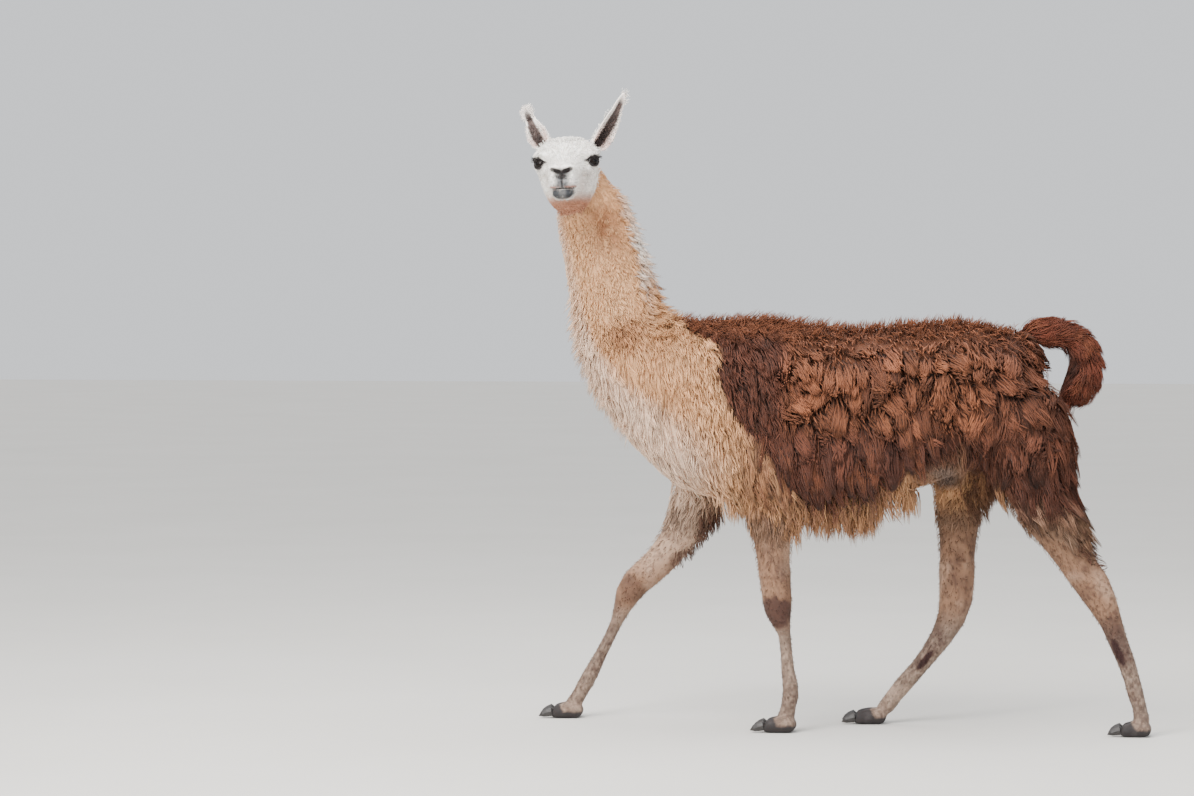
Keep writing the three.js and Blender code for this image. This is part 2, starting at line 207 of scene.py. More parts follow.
# ------------------------------------------------------------------ distance fields
class Field:
    """Distance to a surface on a grid, in metres, negative inside."""

    def __init__(self, low, high, step, outside=4):
        self.step = step
        self.outside = outside  # how many steps outside the surface the field is true
        self.first = np.floor(np.asarray(low) / step).astype(int)
        self.count = np.ceil(np.asarray(high) / step).astype(int) - self.first + 1
        self.values = np.zeros(self.count, np.float32)

    def read(self, points, faces, band):
        """Fills the field from a closed mesh, as far as `band` metres inside it."""
        inside = int(math.ceil(band / self.step)) + 3
        kind = {3: "triangles", 4: "quads"}[faces.shape[1]]
        grid = openvdb.FloatGrid.createLevelSetFromPolygons(
            points.astype(np.float32), **{kind: faces.astype(np.uint32)},
            transform=openvdb.createLinearTransform(voxelSize=self.step),
            exBandWidth=float(self.outside), inBandWidth=float(inside))
        grid.copyToArray(self.values, ijk=tuple(int(i) for i in self.first))
        return self

    def soften(self, times):
        """Rounds off the facets of what it was read from."""
        for axis in (0, 1, 2) * times:
            s = np.moveaxis(self.values, axis, 0)
            s[1:-1] = 0.25 * s[:-2] + 0.5 * s[1:-1] + 0.25 * s[2:]
        return self

    def points(self):
        """The grid's points as three arrays that broadcast over it."""
        axes = [(self.first[a] + np.arange(self.count[a])) * self.step for a in range(3)]
        return np.meshgrid(*axes, indexing="ij", sparse=True)

    def near(self, reach):
        """Indices and places of the grid points that lie within `reach` inside the surface."""
        index = np.nonzero((self.values > -reach) & (self.values < (self.outside - 0.01) * self.step))
        places = (np.stack(index, -1) + self.first) * self.step
        return index, places

    def mesh(self):
        """The surface as points and quads that face outwards."""
        edge = 4 * self.step
        grid = openvdb.FloatGrid(edge)
        grid.transform = openvdb.createLinearTransform(voxelSize=self.step)
        grid.gridClass = openvdb.GridClass.LEVEL_SET
        values = np.clip(self.values, -edge, edge)
        for axis in range(3):
            ends = np.moveaxis(values, axis, 0)
            ends[0] = ends[-1] = edge
        grid.copyFromArray(values.astype(np.float32), ijk=tuple(int(i) for i in self.first))
        points, quads = grid.convertToQuads()
        return points, quads[:, ::-1]

    def at(self, points):
        """The field at any points, read between the grid's own."""
        q = np.clip(points / self.step - self.first, 0, self.count - 1.001)
        cell = q.astype(int)
        total = np.zeros(len(points))
        for i, j, k, w in cell_corners(cell, q - cell):
            total += w * self.values[i, j, k]
        return total

    def slope(self, points):
        """The direction away from the surface."""
        axes = np.eye(3) * self.step
        return unit(np.stack([self.at(points + a) - self.at(points - a) for a in axes], -1))


WELD = 1e-6  # points closer than this are one


def node_mesh(names):
    """The joined triangles of CAD nodes."""
    points, faces, start = [], [], 0
    for name in names:
        co, tris = read_mesh(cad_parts[name].data)
        keys, back = np.unique(np.round(co / WELD).astype(np.int64), axis=0, return_inverse=True)
        points.append(keys * WELD)
        faces.append(back.reshape(-1)[tris] + start)
        start += len(keys)
    return np.concatenate(points), np.concatenate(faces)


# ------------------------------------------------------------------ spines and the depth of the coat
# Stations in the drawing's millimetres. Each runs the way its hair lies.

NECK = [(-775, -70, 1560), (-734, -24, 1500), (-722, -20, 1450), (-690, -16, 1350), (-657, -8, 1215),
        (-628, -2, 1095), (-564, 0, 988), (-478, 0, 850), (-440, 0, 760)]
TAIL = [(440, 0, 1055), (530, 2, 1079), (580, 4, 1074), (617, 6, 1050), (634, 8, 1014),
        (633, 10, 972), (616, 12, 928), (598, 12, 850)]
TRUNK = [(-600, 0, 930), (-380, 0, 870), (-130, 0, 840), (160, 0, 880), (400, 0, 930), (540, 0, 960)]
LEG = {
    "fore_left": [(-215, -118, 690), (-203, -126, 530), (-193, -126, 408), (-189, -126, 362),
                  (-176, -126, 292), (-162, -126, 200), (-150, -126, 112), (-160, -126, 50), (-172, -126, 8)],
    "fore_right": [(-420, 112, 690), (-464, 122, 530), (-556, 125, 418), (-596, 125, 382),
                   (-638, 125, 306), (-683, 125, 205), (-731, 125, 112), (-772, 125, 45), (-785, 125, 8)],
    "hind_left": [(460, -108, 860), (486, -110, 735), (550, -107, 575), (636, -105, 434), (697, -105, 322),
                  (738, -105, 217), (767, -105, 122), (785, -105, 50), (782, -105, 8)],
    "hind_right": [(400, 108, 860), (338, 108, 740), (292, 92, 525), (288, 90, 400), (273, 90, 290),
                   (212, 90, 190), (147, 90, 112), (95, 90, 50), (80, 90, 8)],
}
SPINES = {"neck": NECK, "tail": TAIL, "trunk": TRUNK, **LEG}


def along(points, spine):
    """For points of the drawing: distance to a spine, length along it and its direction there."""
    line = np.asarray(spine, float)
    best = np.full(len(points), 1e9)
    run = np.zeros(len(points))
    way = np.zeros((len(points), 3))
    start = 0.0
    steps = np.diff(line, axis=0)
    ways = unit(steps)
    for i, (a, step) in enumerate(zip(line[:-1], steps)):
        length = np.linalg.norm(step)
        t = np.clip((points - a) @ step / length ** 2, 0, 1)
        distance = np.linalg.norm(points - a - t[:, None] * step, axis=1)
        near = distance < best
        best[near] = distance[near]
        run[near] = start + t[near] * length
        other = ways[max(i - 1, 0)], ways[min(i + 1, len(ways) - 1)]
        t = t[near, None]
        bent = ways[i] + np.where(t < 0.5, (0.5 - t) * other[0], (t - 0.5) * other[1])
        way[near] = unit(bent)
        start += length
    return best, run, way


def coat_depth(p):
    """How far the skin lies inside the outline, in millimetres, at points of the drawing."""
    x, z = p[:, 0], p[:, 2]
    depth = np.full(len(p), 24.0)
    depth = mix(depth, 14, smooth(-x, 330, 470))
    depth = mix(depth, 17, smooth(z, 1040, 1090))
    leg = np.minimum(along(p, LEG["fore_left"])[0], along(p, LEG["fore_right"])[0])
    belly = smooth(-z, -720, -620) * smooth(x, -330, -230) * smooth(-x, -170, -90) * smooth(leg, 62, 95)
    depth = mix(depth, 56, belly)
    flank = bump(x, 235, 120) * smooth(-z, -800, -700)
    depth = mix(depth, 12, flank)
    depth = mix(depth, 9, smooth(-z, -640, -560) * (1 - belly))
    depth = mix(depth, 4, smooth(-z, -520, -400))
    depth = mix(depth, 2.6, smooth(-z, -300, -200))
    depth = mix(depth, 0.8, smooth(-z, -70, -45))
    neck = smooth(z, 1090, 1180) * smooth(-x, 540, 600)
    depth = mix(depth, 12, neck)
    depth = mix(depth, 7, neck * smooth(z, 1340, 1430))
    tail = along(p, TAIL[1:])[0]
    depth = mix(depth, 22, smooth(-tail, -75, -55) * smooth(x, 535, 575) * smooth(z, 830, 870))
    return depth


# ------------------------------------------------------------------ the skin's body

FLESH = [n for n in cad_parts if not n.startswith(("eye", "ear")) and "nail" not in n]
CUT_AT = place([(-698, -16, 1378)])[0]  # the skin is made in three fields: head, body and legs
CUT_WAY = unit(np.array([-0.31, -0.04, 0.95]))
LEG_CUT, LEG_ROOM = 0.44, 0.05  # the height of the second cut, and the legs' grid above it
DIVE = 3 * MM  # how far one field dips under the next, and over what length
LAP = 24 * MM
GRID_ROOM = 0.03  # how far grids reach past what they hold
BODY_LOW = np.array(CAD_BOX[0]) - GRID_ROOM
BODY_HIGH = np.array(CAD_BOX[1]) + GRID_ROOM
BODY_STEP, BODY_BAND = 9 * MM, 75 * MM  # grid steps, and how far inside the outline fields are true
LEG_STEP, LEG_BAND = 4.5 * MM, 14 * MM
HEAD_STEP, HEAD_BAND = 2.1 * MM, 16 * MM
SHELL_STEP, HEAD_SHELL_STEP = 4 * MM, 2.2 * MM  # where cuts are filled
CUT_GAP = 0.5 * MM  # half the widest cut between two nodes


def shell(nodes, low, high, step):
    """One closed surface round several nodes, with the thin cuts between them filled."""
    field = Field(low, high, step).read(*node_mesh(nodes), 0)
    field.values -= CUT_GAP
    return field.mesh()


def parted(field, side):
    """Ends a field where side is above 0. Near there it dips under the neighbour that goes on."""
    field.values += DIVE * smooth(side, -LAP / 2, LAP)
    field.values = np.maximum(field.values, side - LAP).astype(np.float32)
    return field


def neck_side(field):
    x, y, z = field.points()
    return (x - CUT_AT[0]) * CUT_WAY[0] + (y - CUT_AT[1]) * CUT_WAY[1] + (z - CUT_AT[2]) * CUT_WAY[2]


def leg_side(field):
    return LEG_CUT - field.points()[2]


def skin_field(surface, low, high, step, softer, band, outside=4):
    """The skin's distance field: the surface's own, rounded off and drawn in by the coat's depth."""
    field = Field(low, high, step, outside).read(*surface, band)
    field.soften(softer)
    index, places = field.near(band)
    field.values[index] += (coat_depth(drawing(places)) * MM).astype(np.float32)
    return field


OUTLINE = shell(FLESH, BODY_LOW, BODY_HIGH, SHELL_STEP)


def body_field():
    field = skin_field(OUTLINE, BODY_LOW, BODY_HIGH, BODY_STEP, 3, BODY_BAND)
    parted(field, neck_side(field))
    return parted(field, leg_side(field))


def leg_field():
    high = (*BODY_HIGH[:2], LEG_CUT + LEG_ROOM)
    field = skin_field(OUTLINE, BODY_LOW, high, LEG_STEP, 3, LEG_BAND)
    return parted(field, -leg_side(field))


# ------------------------------------------------------------------ the head
# Everything here is in the head's own frame and in millimetres. `side` is 1 on the left, -1 on the right.

EYE_AT = np.array([8.0, 66.0, 1.0])
EYE_LOOK = 40  # the eye's axis, in degrees from straight ahead towards the side
EYE_OPEN = (0.96, 0.62)  # half angles of the lids' opening, along and across, in radians
LID = 22.6
NOSTRIL = {"at": (183, 14, -27), "turn": 22, "size": (11, 13.5, 3.0)}
MOUTH = {"z": -73, "corner": 128, "half": 2.0}
EAR = {"length": 168, "half": 28.5, "narrow": 0.72, "belly": 0.667, "thick": 7, "thinning": 0.45, "rim": 2.4,
       "roll_base": 2.0, "roll_tip": 0.75, "open": 0.74, "set": 0.6, "first": 0.08, "last": 0.5,
       "least": 2.2}
EARS = {
    "ear_left": {"at": (-46, 72, 40), "out": 43, "forward": -4, "face": 34, "bend": 34, "side": 1},
    "ear_right": {"at": (-40, -58, 42), "out": 27, "forward": -43, "face": 20, "bend": 20, "side": -1},
}


def eye_frame(side):
    """The eye's middle and its axes: out, along the lids towards the nose, and up."""
    a = math.radians(EYE_LOOK)
    out = np.array([math.cos(a), side * math.sin(a), 0.06])
    out /= np.linalg.norm(out)
    front = unit(np.array([math.sin(a), -side * math.cos(a), 0.10]))
    front = unit(front - out * (front @ out))
    up = np.cross(out, front) * -side
    return EYE_AT * (1, side, 1), out, front, up * np.sign(up[2])


def eye_angles(p, side):
    """Distance from the eye's middle, and the angles along and above its axis."""
    middle, out, front, up = eye_frame(side)
    q = p - middle
    depth = np.maximum(q @ out, 1e-6)
    r = np.linalg.norm(q, axis=1)
    return r, np.arctan2(q @ front, depth), np.arctan2(q @ up, depth), q @ out


def lids(p, side):
    """Distance, in radians, from the edge of the lids: negative in the opening between them."""
    _, a, b, _ = eye_angles(p, side)
    share = np.clip(1 - (a / EYE_OPEN[0]) ** 2, 0, 1)
    top = EYE_OPEN[1] * 0.74 * share ** 0.42
    bottom = EYE_OPEN[1] * 0.95 * share ** 0.6
    corner = np.abs(a) - EYE_OPEN[0]
    edge = np.where(b > 0, b - top, -b - bottom)
    return np.where(corner > 0, np.hypot(corner, b), edge * 0.9)


def soft_min(a, b, k):
    """Joins two distance fields with a fillet about k wide."""
    h = np.clip(0.5 + 0.5 * (b - a) / k, 0, 1)
    return b + (a - b) * h - k * h * (1 - h)


def soft_cut(a, b, k):
    """Takes b out of a, with a rounded edge about k wide."""
    return -soft_min(-a, b, k)


def blob(p, at, size, yaw=0.0, roll=0.0):
    """Distance to an ellipsoid, nearly."""
    q = p - np.asarray(at, float)
    if yaw or roll:
        q = q @ np.array(turn("Z", yaw) @ turn("X", roll))
    k = np.linalg.norm(q / size, axis=1)
    return (k - 1) * min(size) * mix(1.0, 1.6, smooth(k, 1, 3))


def ear_shape(t, angle, ear, inset=0.0):
    """A point of the ear's leaf at the share t of its length and at an angle round its section."""
    rise = 1 - np.minimum(t / EAR["first"], 1)
    fall = 1 - np.minimum((1 - t) / EAR["last"], 1)
    size = np.sqrt(np.clip(1 - rise ** 2, 0, 1)) * np.sqrt(np.clip(1 - fall ** 2, 0, 1))
    swell = np.sin(np.pi * np.minimum(t / EAR["belly"], 1))
    width = np.maximum(EAR["half"] * size * mix(EAR["narrow"], 1, swell) - inset, 0)
    roll = mix(EAR["roll_base"], EAR["roll_tip"], np.minimum(t / EAR["open"], 1))
    radius = width / np.sin(np.minimum(roll, np.pi / 2))
    thick = np.maximum(EAR["thick"] * (1 - EAR["thinning"] * t) - 2 * inset, EAR["least"])
    face = np.clip(np.sin(angle) * EAR["rim"], -1, 1)
    arc = (np.abs(angle) / np.pi * 2 - 1) * roll
    out = radius + thick / 2 * face
    lean = ear["bend"] * t * t
    return np.stack([radius * EAR["set"] - out * np.cos(arc),
                     -ear["side"] * (lean + out * np.sin(arc)), EAR["length"] * t + 0 * arc], -1)


def ear_turn(ear):
    tilt = turn("Y", ear["forward"]) @ turn("X", -ear["side"] * ear["out"])
    return np.array(tilt @ turn("Z", ear["side"] * ear["face"]))


def ear_mesh(ear, inset, around=48, rows=64):
    """A closed mesh of an ear, smaller all round by the inset, in the head's frame."""
    t = np.linspace(0, 1, rows)[1:-1]
    angle = np.linspace(-np.pi, np.pi, around, endpoint=False)
    grid = ear_shape(t[:, None], angle[None, :], ear, inset).reshape(-1, 3)
    tips = ear_shape(np.array([0.0, 1.0]), np.array([0.0, 0.0]), ear, inset)
    tips[1, 2] -= inset
    points = np.concatenate([grid, tips]) @ ear_turn(ear).T + ear["at"]
    faces = []
    for i in range(rows - 3):
        for j in range(around):
            k = (j + 1) % around
            a, b, c, d = i * around + j, i * around + k, (i + 1) * around + k, (i + 1) * around + j
            faces += [(a, b, c), (a, c, d)]
    last = (rows - 3) * around
    for j in range(around):
        k = (j + 1) % around
        faces += [(len(grid), k, j), (len(grid) + 1, last + j, last + k)]
    return points, np.array(faces)


def muzzle(p, d):
    """Shapes the nose, the lips and the mouth."""
    mirrored = both_sides(p)
    x, y, z = mirrored.T
    # the upper lip swells on either side of its cleft, and the chin below the mouth
    d = soft_min(d, blob(mirrored, (165, 13.5, -58), (23, 18.5, 15)), 12)
    d = soft_min(d, blob(mirrored, (160, 6, -88), (26, 20, 12)), 12)
    cleft = np.hypot(y, np.maximum(0, np.abs(z + 56) - 18)) - 0.8
    d = soft_cut(d, np.maximum(cleft, -d - 3), 3.5)
    # the mouth runs back from the cleft and curls up at its corners
    line = MOUTH["z"] + 4 * smooth(-x, -165, -120) + 3 * smooth(-y, -3, 0)
    gap = np.abs(z - line) - MOUTH["half"] * smooth(x, MOUTH["corner"] - 6, MOUTH["corner"] + 20)
    gap = np.maximum(gap, MOUTH["corner"] - x)
    d = soft_cut(d, np.maximum(gap, -d - 7), 3.0)
    # nostrils: a slanting slit under a raised rim
    at, size = np.array(NOSTRIL["at"], float), np.array(NOSTRIL["size"], float)
    d = soft_min(d, blob(mirrored, at + (-15, 1, 9), (16, 16, 9)), 14)
    d = soft_cut(d, blob(mirrored, at, size, roll=NOSTRIL["turn"]), 2.5)
    return soft_cut(d, blob(mirrored, at + (-4, 11, 5), (10, 4.5, 4.0)), 2.5)


def face_bones(p, d):
    """The brow over each eye, the cheekbone under it and the jaw's hollow."""
    mirrored = both_sides(p)
    d = soft_min(d, blob(mirrored, (4, 60, 24), (24, 17, 8), yaw=-30), 14)
    d = soft_min(d, blob(mirrored, (34, 47, -22), (34, 12, 9), yaw=-24), 14)
    return soft_cut(d, blob(mirrored, (84, 53, -58), (40, 6, 20), yaw=-8), 14)


def eyelids(p, d):
    """Thick lids round each eye, open in an almond, with a fold above and a duct to the front."""
    for side in (1, -1):
        r, _, _, depth = eye_angles(p, side)
        near = (r < 60) & (depth > -4)
        if not near.any():
            continue
        r, e = r[near], d[near]
        edge = lids(p[near], side)
        e = soft_min(e, r - LID + 1.5, 15)
        e = soft_min(e, r - LID - 1.0 * np.exp(-(edge / 0.1) ** 2), 3)
        fold = np.abs(edge - 0.36) * LID - 0.2
        e = soft_cut(e, np.maximum(fold, -e - 0.6), 3.0)
        opening = np.maximum(edge * LID, r - LID - 14)
        d[near] = soft_cut(e, opening, 1.6)
    return d


EAR_INSET = 2.2  # the ears' hair is this deep, and the rest of their edge is rounded
EAR_ROUND = 1.5 * MM
NECK_ROUNDER = (0.09, 0.16)  # where, below the eyes, the facets of the neck are rounded off further
HEAD_ROOM = 0.02  # how far the head's grid reaches past its nodes
BELOW_CUT, BEHIND_CUT = 0.06, 0.13  # the same, past the middle of the neck's cut
SHELL_ROOM = 0.05


def head_field():
    corners = [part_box(n)[i] for n in ("head", "ear_left", "ear_right") for i in (0, 1)]
    low = np.min(corners, axis=0) - HEAD_ROOM
    low[2] = CUT_AT[2] - BELOW_CUT
    high = np.max(corners, axis=0) + HEAD_ROOM
    high[0] = max(high[0], CUT_AT[0] + BEHIND_CUT)
    wider = low - SHELL_ROOM, high + SHELL_ROOM
    surface = shell(["head", "neck", "eye_left", "eye_right"], *wider, HEAD_SHELL_STEP)
    field, rounder = (skin_field(surface, low, high, HEAD_STEP, softer, HEAD_BAND, 9) for softer in (4, 24))
    z = field.points()[2]
    share = smooth(HEAD_AT[2] - z, *NECK_ROUNDER)
    field.values = (field.values * (1 - share) + rounder.values * share).astype(np.float32)
    for ear in EARS.values():
        points, faces = ear_mesh(ear, EAR_INSET)
        leaf = Field(low, high, HEAD_STEP).read(from_head(points), faces, 8 * MM).soften(1)
        leaf.values -= EAR_ROUND
        index = np.nonzero(leaf.values < 3.5 * HEAD_STEP)
        field.values[index] = soft_min(field.values[index], leaf.values[index], 5 * MM)
    index = np.nonzero(np.abs(field.values) < 20 * MM)
    p = to_head((np.stack(index, -1) + field.first) * HEAD_STEP)
    d = field.values[index] / MM
    face = p[:, 0] > -30
    d[face] = eyelids(p[face], muzzle(p[face], face_bones(p[face], d[face])))
    field.values[index] = (d * MM).astype(np.float32)
    return parted(field, -neck_side(field))


# ------------------------------------------------------------------ one skin

SKIN_SHARE = 0.6  # the share of its triangles that the skin keeps


def apply_modifiers(made):
    graph = bpy.context.evaluated_depsgraph_get()
    mesh = bpy.data.meshes.new_from_object(made.evaluated_get(graph))
    made.modifiers.clear()
    made.data = mesh


def make_skin():
    skin = mesh_object("skin", *head_field().mesh())
    for field in (body_field(), leg_field()):
        other = mesh_object("skin_part", *field.mesh())
        join = skin.modifiers.new("join", "BOOLEAN")
        join.operation = "UNION"
        join.solver = "MANIFOLD"
        join.object = other
        apply_modifiers(skin)
        bpy.data.objects.remove(other)
    skin.modifiers.new("thin", "DECIMATE").ratio = SKIN_SHARE
    apply_modifiers(skin)
    skin.data.shade_smooth()
    return skin


# ------------------------------------------------------------------ which part a place belongs to

NODES = sorted(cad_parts)
GROUPS = ("head", "ear_left", "ear_right", "neck", "trunk", "tail", *LEGS, "foot")


def group_of(node):
    if node.startswith(("ear", "head", "neck", "trunk")):
        return GROUPS.index(node)
    if node.startswith("eye"):
        return GROUPS.index("head")
    if node.startswith("tail"):
        return GROUPS.index("tail")
    if "foot" in node or "nail" in node:
        return GROUPS.index("foot")
    return GROUPS.index(node.rsplit("_", 1)[0])


def part_tree():
    points, faces, owner, start = [], [], [], 0
    for node in NODES:
        co, tris = node_mesh([node])
        points += co.tolist()
        faces += (tris + start).tolist()
        owner += [group_of(node)] * len(tris)
        start += len(co)
    return BVHTree.FromPolygons(points, faces), np.array(owner)


PART_TREE, PART_OWNER = part_tree()


def parts(points):
    """The group of each point, by the CAD node that is nearest to it."""
    return PART_OWNER[[PART_TREE.find_nearest(p)[2] for p in points.tolist()]]


def is_part(group, *names):
    return np.isin(group, [GROUPS.index(n) for n in names])


# ------------------------------------------------------------------ the lie of the coat
def lie(p, normal, group):
    """The direction, along the surface, in which the coat lies at points of the drawing."""
    x, y, z = p[:, 0], p[:, 1], p[:, 2]
    side = np.where(y >= 0, 1.0, -1.0) * smooth(np.abs(y), 0, 25)
    way = np.zeros_like(p)
    top = smooth(normal[:, 2], 0.35, 0.9)
    way[:, 0] = 0.28 + 0.22 * smooth(x, 250, 450) + 0.3 * top
    way[:, 1] = side * 0.95 * top
    way[:, 2] = -1
    for name, spine in SPINES.items():
        if name == "trunk":
            continue
        mine = is_part(group, name)
        if mine.any():
            way[mine] = along(p[mine], spine)[2]
    way[is_part(group, "foot")] = (0.2, 0, -1)
    chest = is_part(group, "neck") & (z < 1120)
    way[chest] = unit(mix(way[chest], np.array([0.28, 0, -1]), smooth(-z[chest], -1120, -1000)[:, None]))
    for name in EARS:
        way[is_part(group, name)] = HEAD_AXES @ ear_turn(EARS[name])[:, 2]
    head = is_part(group, "head")
    if head.any():
        way[head] = face_lie(head_points(p[head])) @ HEAD_AXES.T
    return unit(way - normal * dot(way, normal))


def face_lie(h):
    """The lie of the hair on the head: back and up over the brow, back and down below."""
    x, z, side = h[:, 0], h[:, 2], np.sign(h[:, 1])
    way = np.stack([-1 + 0 * x, 0.25 * side, 0.45 * smooth(z, -20, 30) - 0.55 * smooth(-z, 0, 80)], -1)
    brow = smooth(-blob(both_sides(h), (4, 62, 24), (24, 18, 11)), -5, 1)[:, None]
    return mix(way, np.stack([0.35 + 0 * x, 0.35 * side, -1 + 0 * x], -1), brow)


# ------------------------------------------------------------------ markings
# Colours are sRGB, as one would name them, and are turned to linear ones where they are used.
def paint(red, green, blue):
    c = np.array([red, green, blue]) / 255
    return np.where(c <= 0.04045, c / 12.92, ((c + 0.055) / 1.055) ** 2.4)


WHITE = paint(248, 244, 238)
CHEST = paint(232, 202, 178)
CREAM = paint(227, 179, 134)
TAN = paint(206, 154, 110)
# painted shade: deep tan used for shade on the neck
TAN_SHADE = paint(150, 98, 66)
RUST = paint(122, 74, 50)
BROWN = paint(89, 52, 39)
DARK = paint(72, 43, 34)
FRINGE = paint(152, 110, 82)
LEG_COAT = paint(112, 86, 71)
SHIN = paint(100, 83, 73)
# freckles, and also the painted shade round the eyes
FRECKLE_AND_SHADE = paint(66, 44, 38)
GLAND = paint(48, 28, 26)
# painted shade in the fold of the groin
GROIN_SHADE = paint(126, 106, 95)
TAIL_RUST = paint(104, 55, 40)
PINK = paint(214, 164, 150)
LIP_PINK = paint(160, 110, 96)
LIP_DARK = paint(50, 51, 54)
NOSE = paint(40, 35, 35)
EAR_DARK = paint(54, 43, 41)
CHIN = paint(186, 127, 95)
PAD = paint(48, 44, 44)

# The front edge of the brown saddle as heights and places along the body, and its lower edge.
SADDLE_FRONT = ([600, 631, 685, 738, 791, 844, 898, 951, 1005, 1045, 1071, 1133],
                [-42, -122, -168, -203, -243, -297, -326, -348, -343, -359, -418, -490])
WITHERS = ([-560, -525, -470, -418, -370, -340], [1250, 1190, 1144, 1104, 1074, 1040])
CHEST_FRONT = ([729, 871, 926, 1068, 1179], [-498, -608, -664, -727, -742])
CHEST_PALE = ([800, 860, 940, 1020, 1128], [150, 120, 62, 34, 24])
SADDLE_LOW = ([-60, -42, 38, 91, 144, 197, 236, 289, 318, 368, 424, 478, 531, 585, 640],
              [600, 602, 620, 640, 680, 715, 750, 765, 755, 705, 680, 628, 600, 575, 570])

# dark patches on the legs: middle, size, slant, colour and strength
LEG_PATCHES = [((-193, -140, 325), (46, 60, 46), 0, FRECKLE_AND_SHADE, 0.93),
               ((-606, 118, 362), (40, 60, 40), 0, FRECKLE_AND_SHADE, 0.5),
               ((712, -124, 255), (34, 40, 70), -0.3, FRECKLE_AND_SHADE, 0.55),
               ((722, -130, 225), (13, 26, 37), -0.4, GLAND, 1.0),
               ((202, 68, 176), (12, 24, 27), 0.7, GLAND, 1.0)]
TAIL_BEND = np.array([560, 5, 985])


def tinge(colour, tone, share):
    """Colours with a tone mixed in, by a share for each point."""
    return mix(colour, tone, share[:, None])


def neck_across(p):
    """How far points lie behind the neck's spine."""
    line = np.asarray(NECK, float)
    return p[:, 0] - np.interp(p[:, 2], line[::-1, 2], line[::-1, 0])


def neck_colour(p, wander, fine):
    """Cream, whiter down its front and its nape, the nape partly as painted rim light, with a painted shade
    of deeper tan behind the jaw.
    """
    z, across = p[:, 2], neck_across(p) / 90
    colour = tinge(CREAM, TAN, 0.35 * smooth(wander, -0.3, 0.6) + 0.6 * smooth(z, 1260, 1380))
    colour = tinge(colour, CHEST, 0.6 * smooth(-across, 0.75, 1.15))
    colour = tinge(colour, WHITE, 0.85 * smooth(-along(p, NECK)[1], -190, -120) * smooth(-across, 0.1, 0.6))
    # partly painted rim light: the nape's tufts are whiter, as if lit from behind
    nape = smooth(across + 0.2 * fine, 0.98, 1.14) * mix(0.35, 1.0, smooth(-z, -1400, -1290))
    colour = tinge(colour, WHITE, nape)
    # painted shade: deeper tan behind the jaw
    patch = bump(z, 1360, 105) * bump(across, 0.4, 0.75)
    return tinge(colour, TAN_SHADE, 0.95 * patch * smooth(fine, -0.7, 0.2))


def saddle_colour(x, z, wander, fine):
    """Dark brown, redder on the mats, and redder along the back as painted rim light."""
    colour = tinge(BROWN, DARK, smooth(wander, 0.0, 0.7))
    # painted rim light: redder along the top of the back, where the frizz is lit from behind
    colour = tinge(colour, RUST, smooth(z, 1035, 1100) * 0.85)
    mats = smooth(x, -190, -140) * smooth(z, 770, 850) * smooth(-x, -600, -520) \
        * mix(1.0, 0.5, smooth(x, 330, 420))
    mats = np.maximum(mats, smooth(x, 300, 400) * smooth(z, 640, 760) * 0.2)
    return tinge(colour, RUST, mats * (0.65 + 0.35 * smooth(fine, -0.4, 0.4)))


def belly_colour(x, z, low, fine):
    """Below the saddle: the fringe, the cream flank and the grey groin, painted as shade in its fold."""
    colour = tinge(FRINGE, TAN, 0.7 * smooth(fine, -0.4, 0.5))
    flank = smooth(x, 100, 190) * smooth(-z, -900, -700)
    colour = tinge(colour, mix(CREAM, TAN, 0.7), flank * (0.7 + 0.3 * fine))
    colour = tinge(colour, LEG_COAT, smooth(x, 400, 450))
    colour = tinge(colour, BROWN, 0.95 * smooth(z - low, -95, -12) * smooth(x, 150, 200))
    # painted shade: grey in the fold of the groin
    return tinge(colour, GROIN_SHADE, bump(x, 262, 70) * smooth(-z, -735, -700) * smooth(z, 640, 665))


def leg_colour(p, wander):
    """Pinkish brown above, paler shins, freckled all over."""
    x, _, z = p.T
    colour = tinge(mix(LEG_COAT, TAN, 0.15), SHIN, smooth(-z, -350, -240))
    pale = 0.2 * smooth(wander, -0.1, 0.6) + 0.35 * smooth(-x, 380, 450) * smooth(z, 380, 480)
    colour = tinge(colour, CHEST, pale)
    colour = tinge(colour, FRECKLE_AND_SHADE, 0.45 * smooth(noise(p, 55, 12, 2), 0.05, 0.6))
    spots = smooth(noise(p, 6, 11, 2), 0.0, 0.35) * (0.35 + 0.65 * smooth(noise(p, 40, 13), -0.5, 0.3))
    colour = tinge(colour, FRECKLE_AND_SHADE, 0.6 * spots)
    pale_spots = smooth(noise(p * (1, 1, 0.6), 5, 14, 3), -0.25, 0.5) * smooth(-z, -330, -180)
    return tinge(colour, CHEST, 0.2 * pale_spots)


def tail_colour(p, fine):
    """Rust outside, dark in the bend."""
    inner = smooth(-np.linalg.norm(p - TAIL_BEND, axis=1), -80, -50)
    return tinge(tinge(TAIL_RUST, RUST, smooth(fine, -0.2, 0.6) * 0.5), DARK, inner)


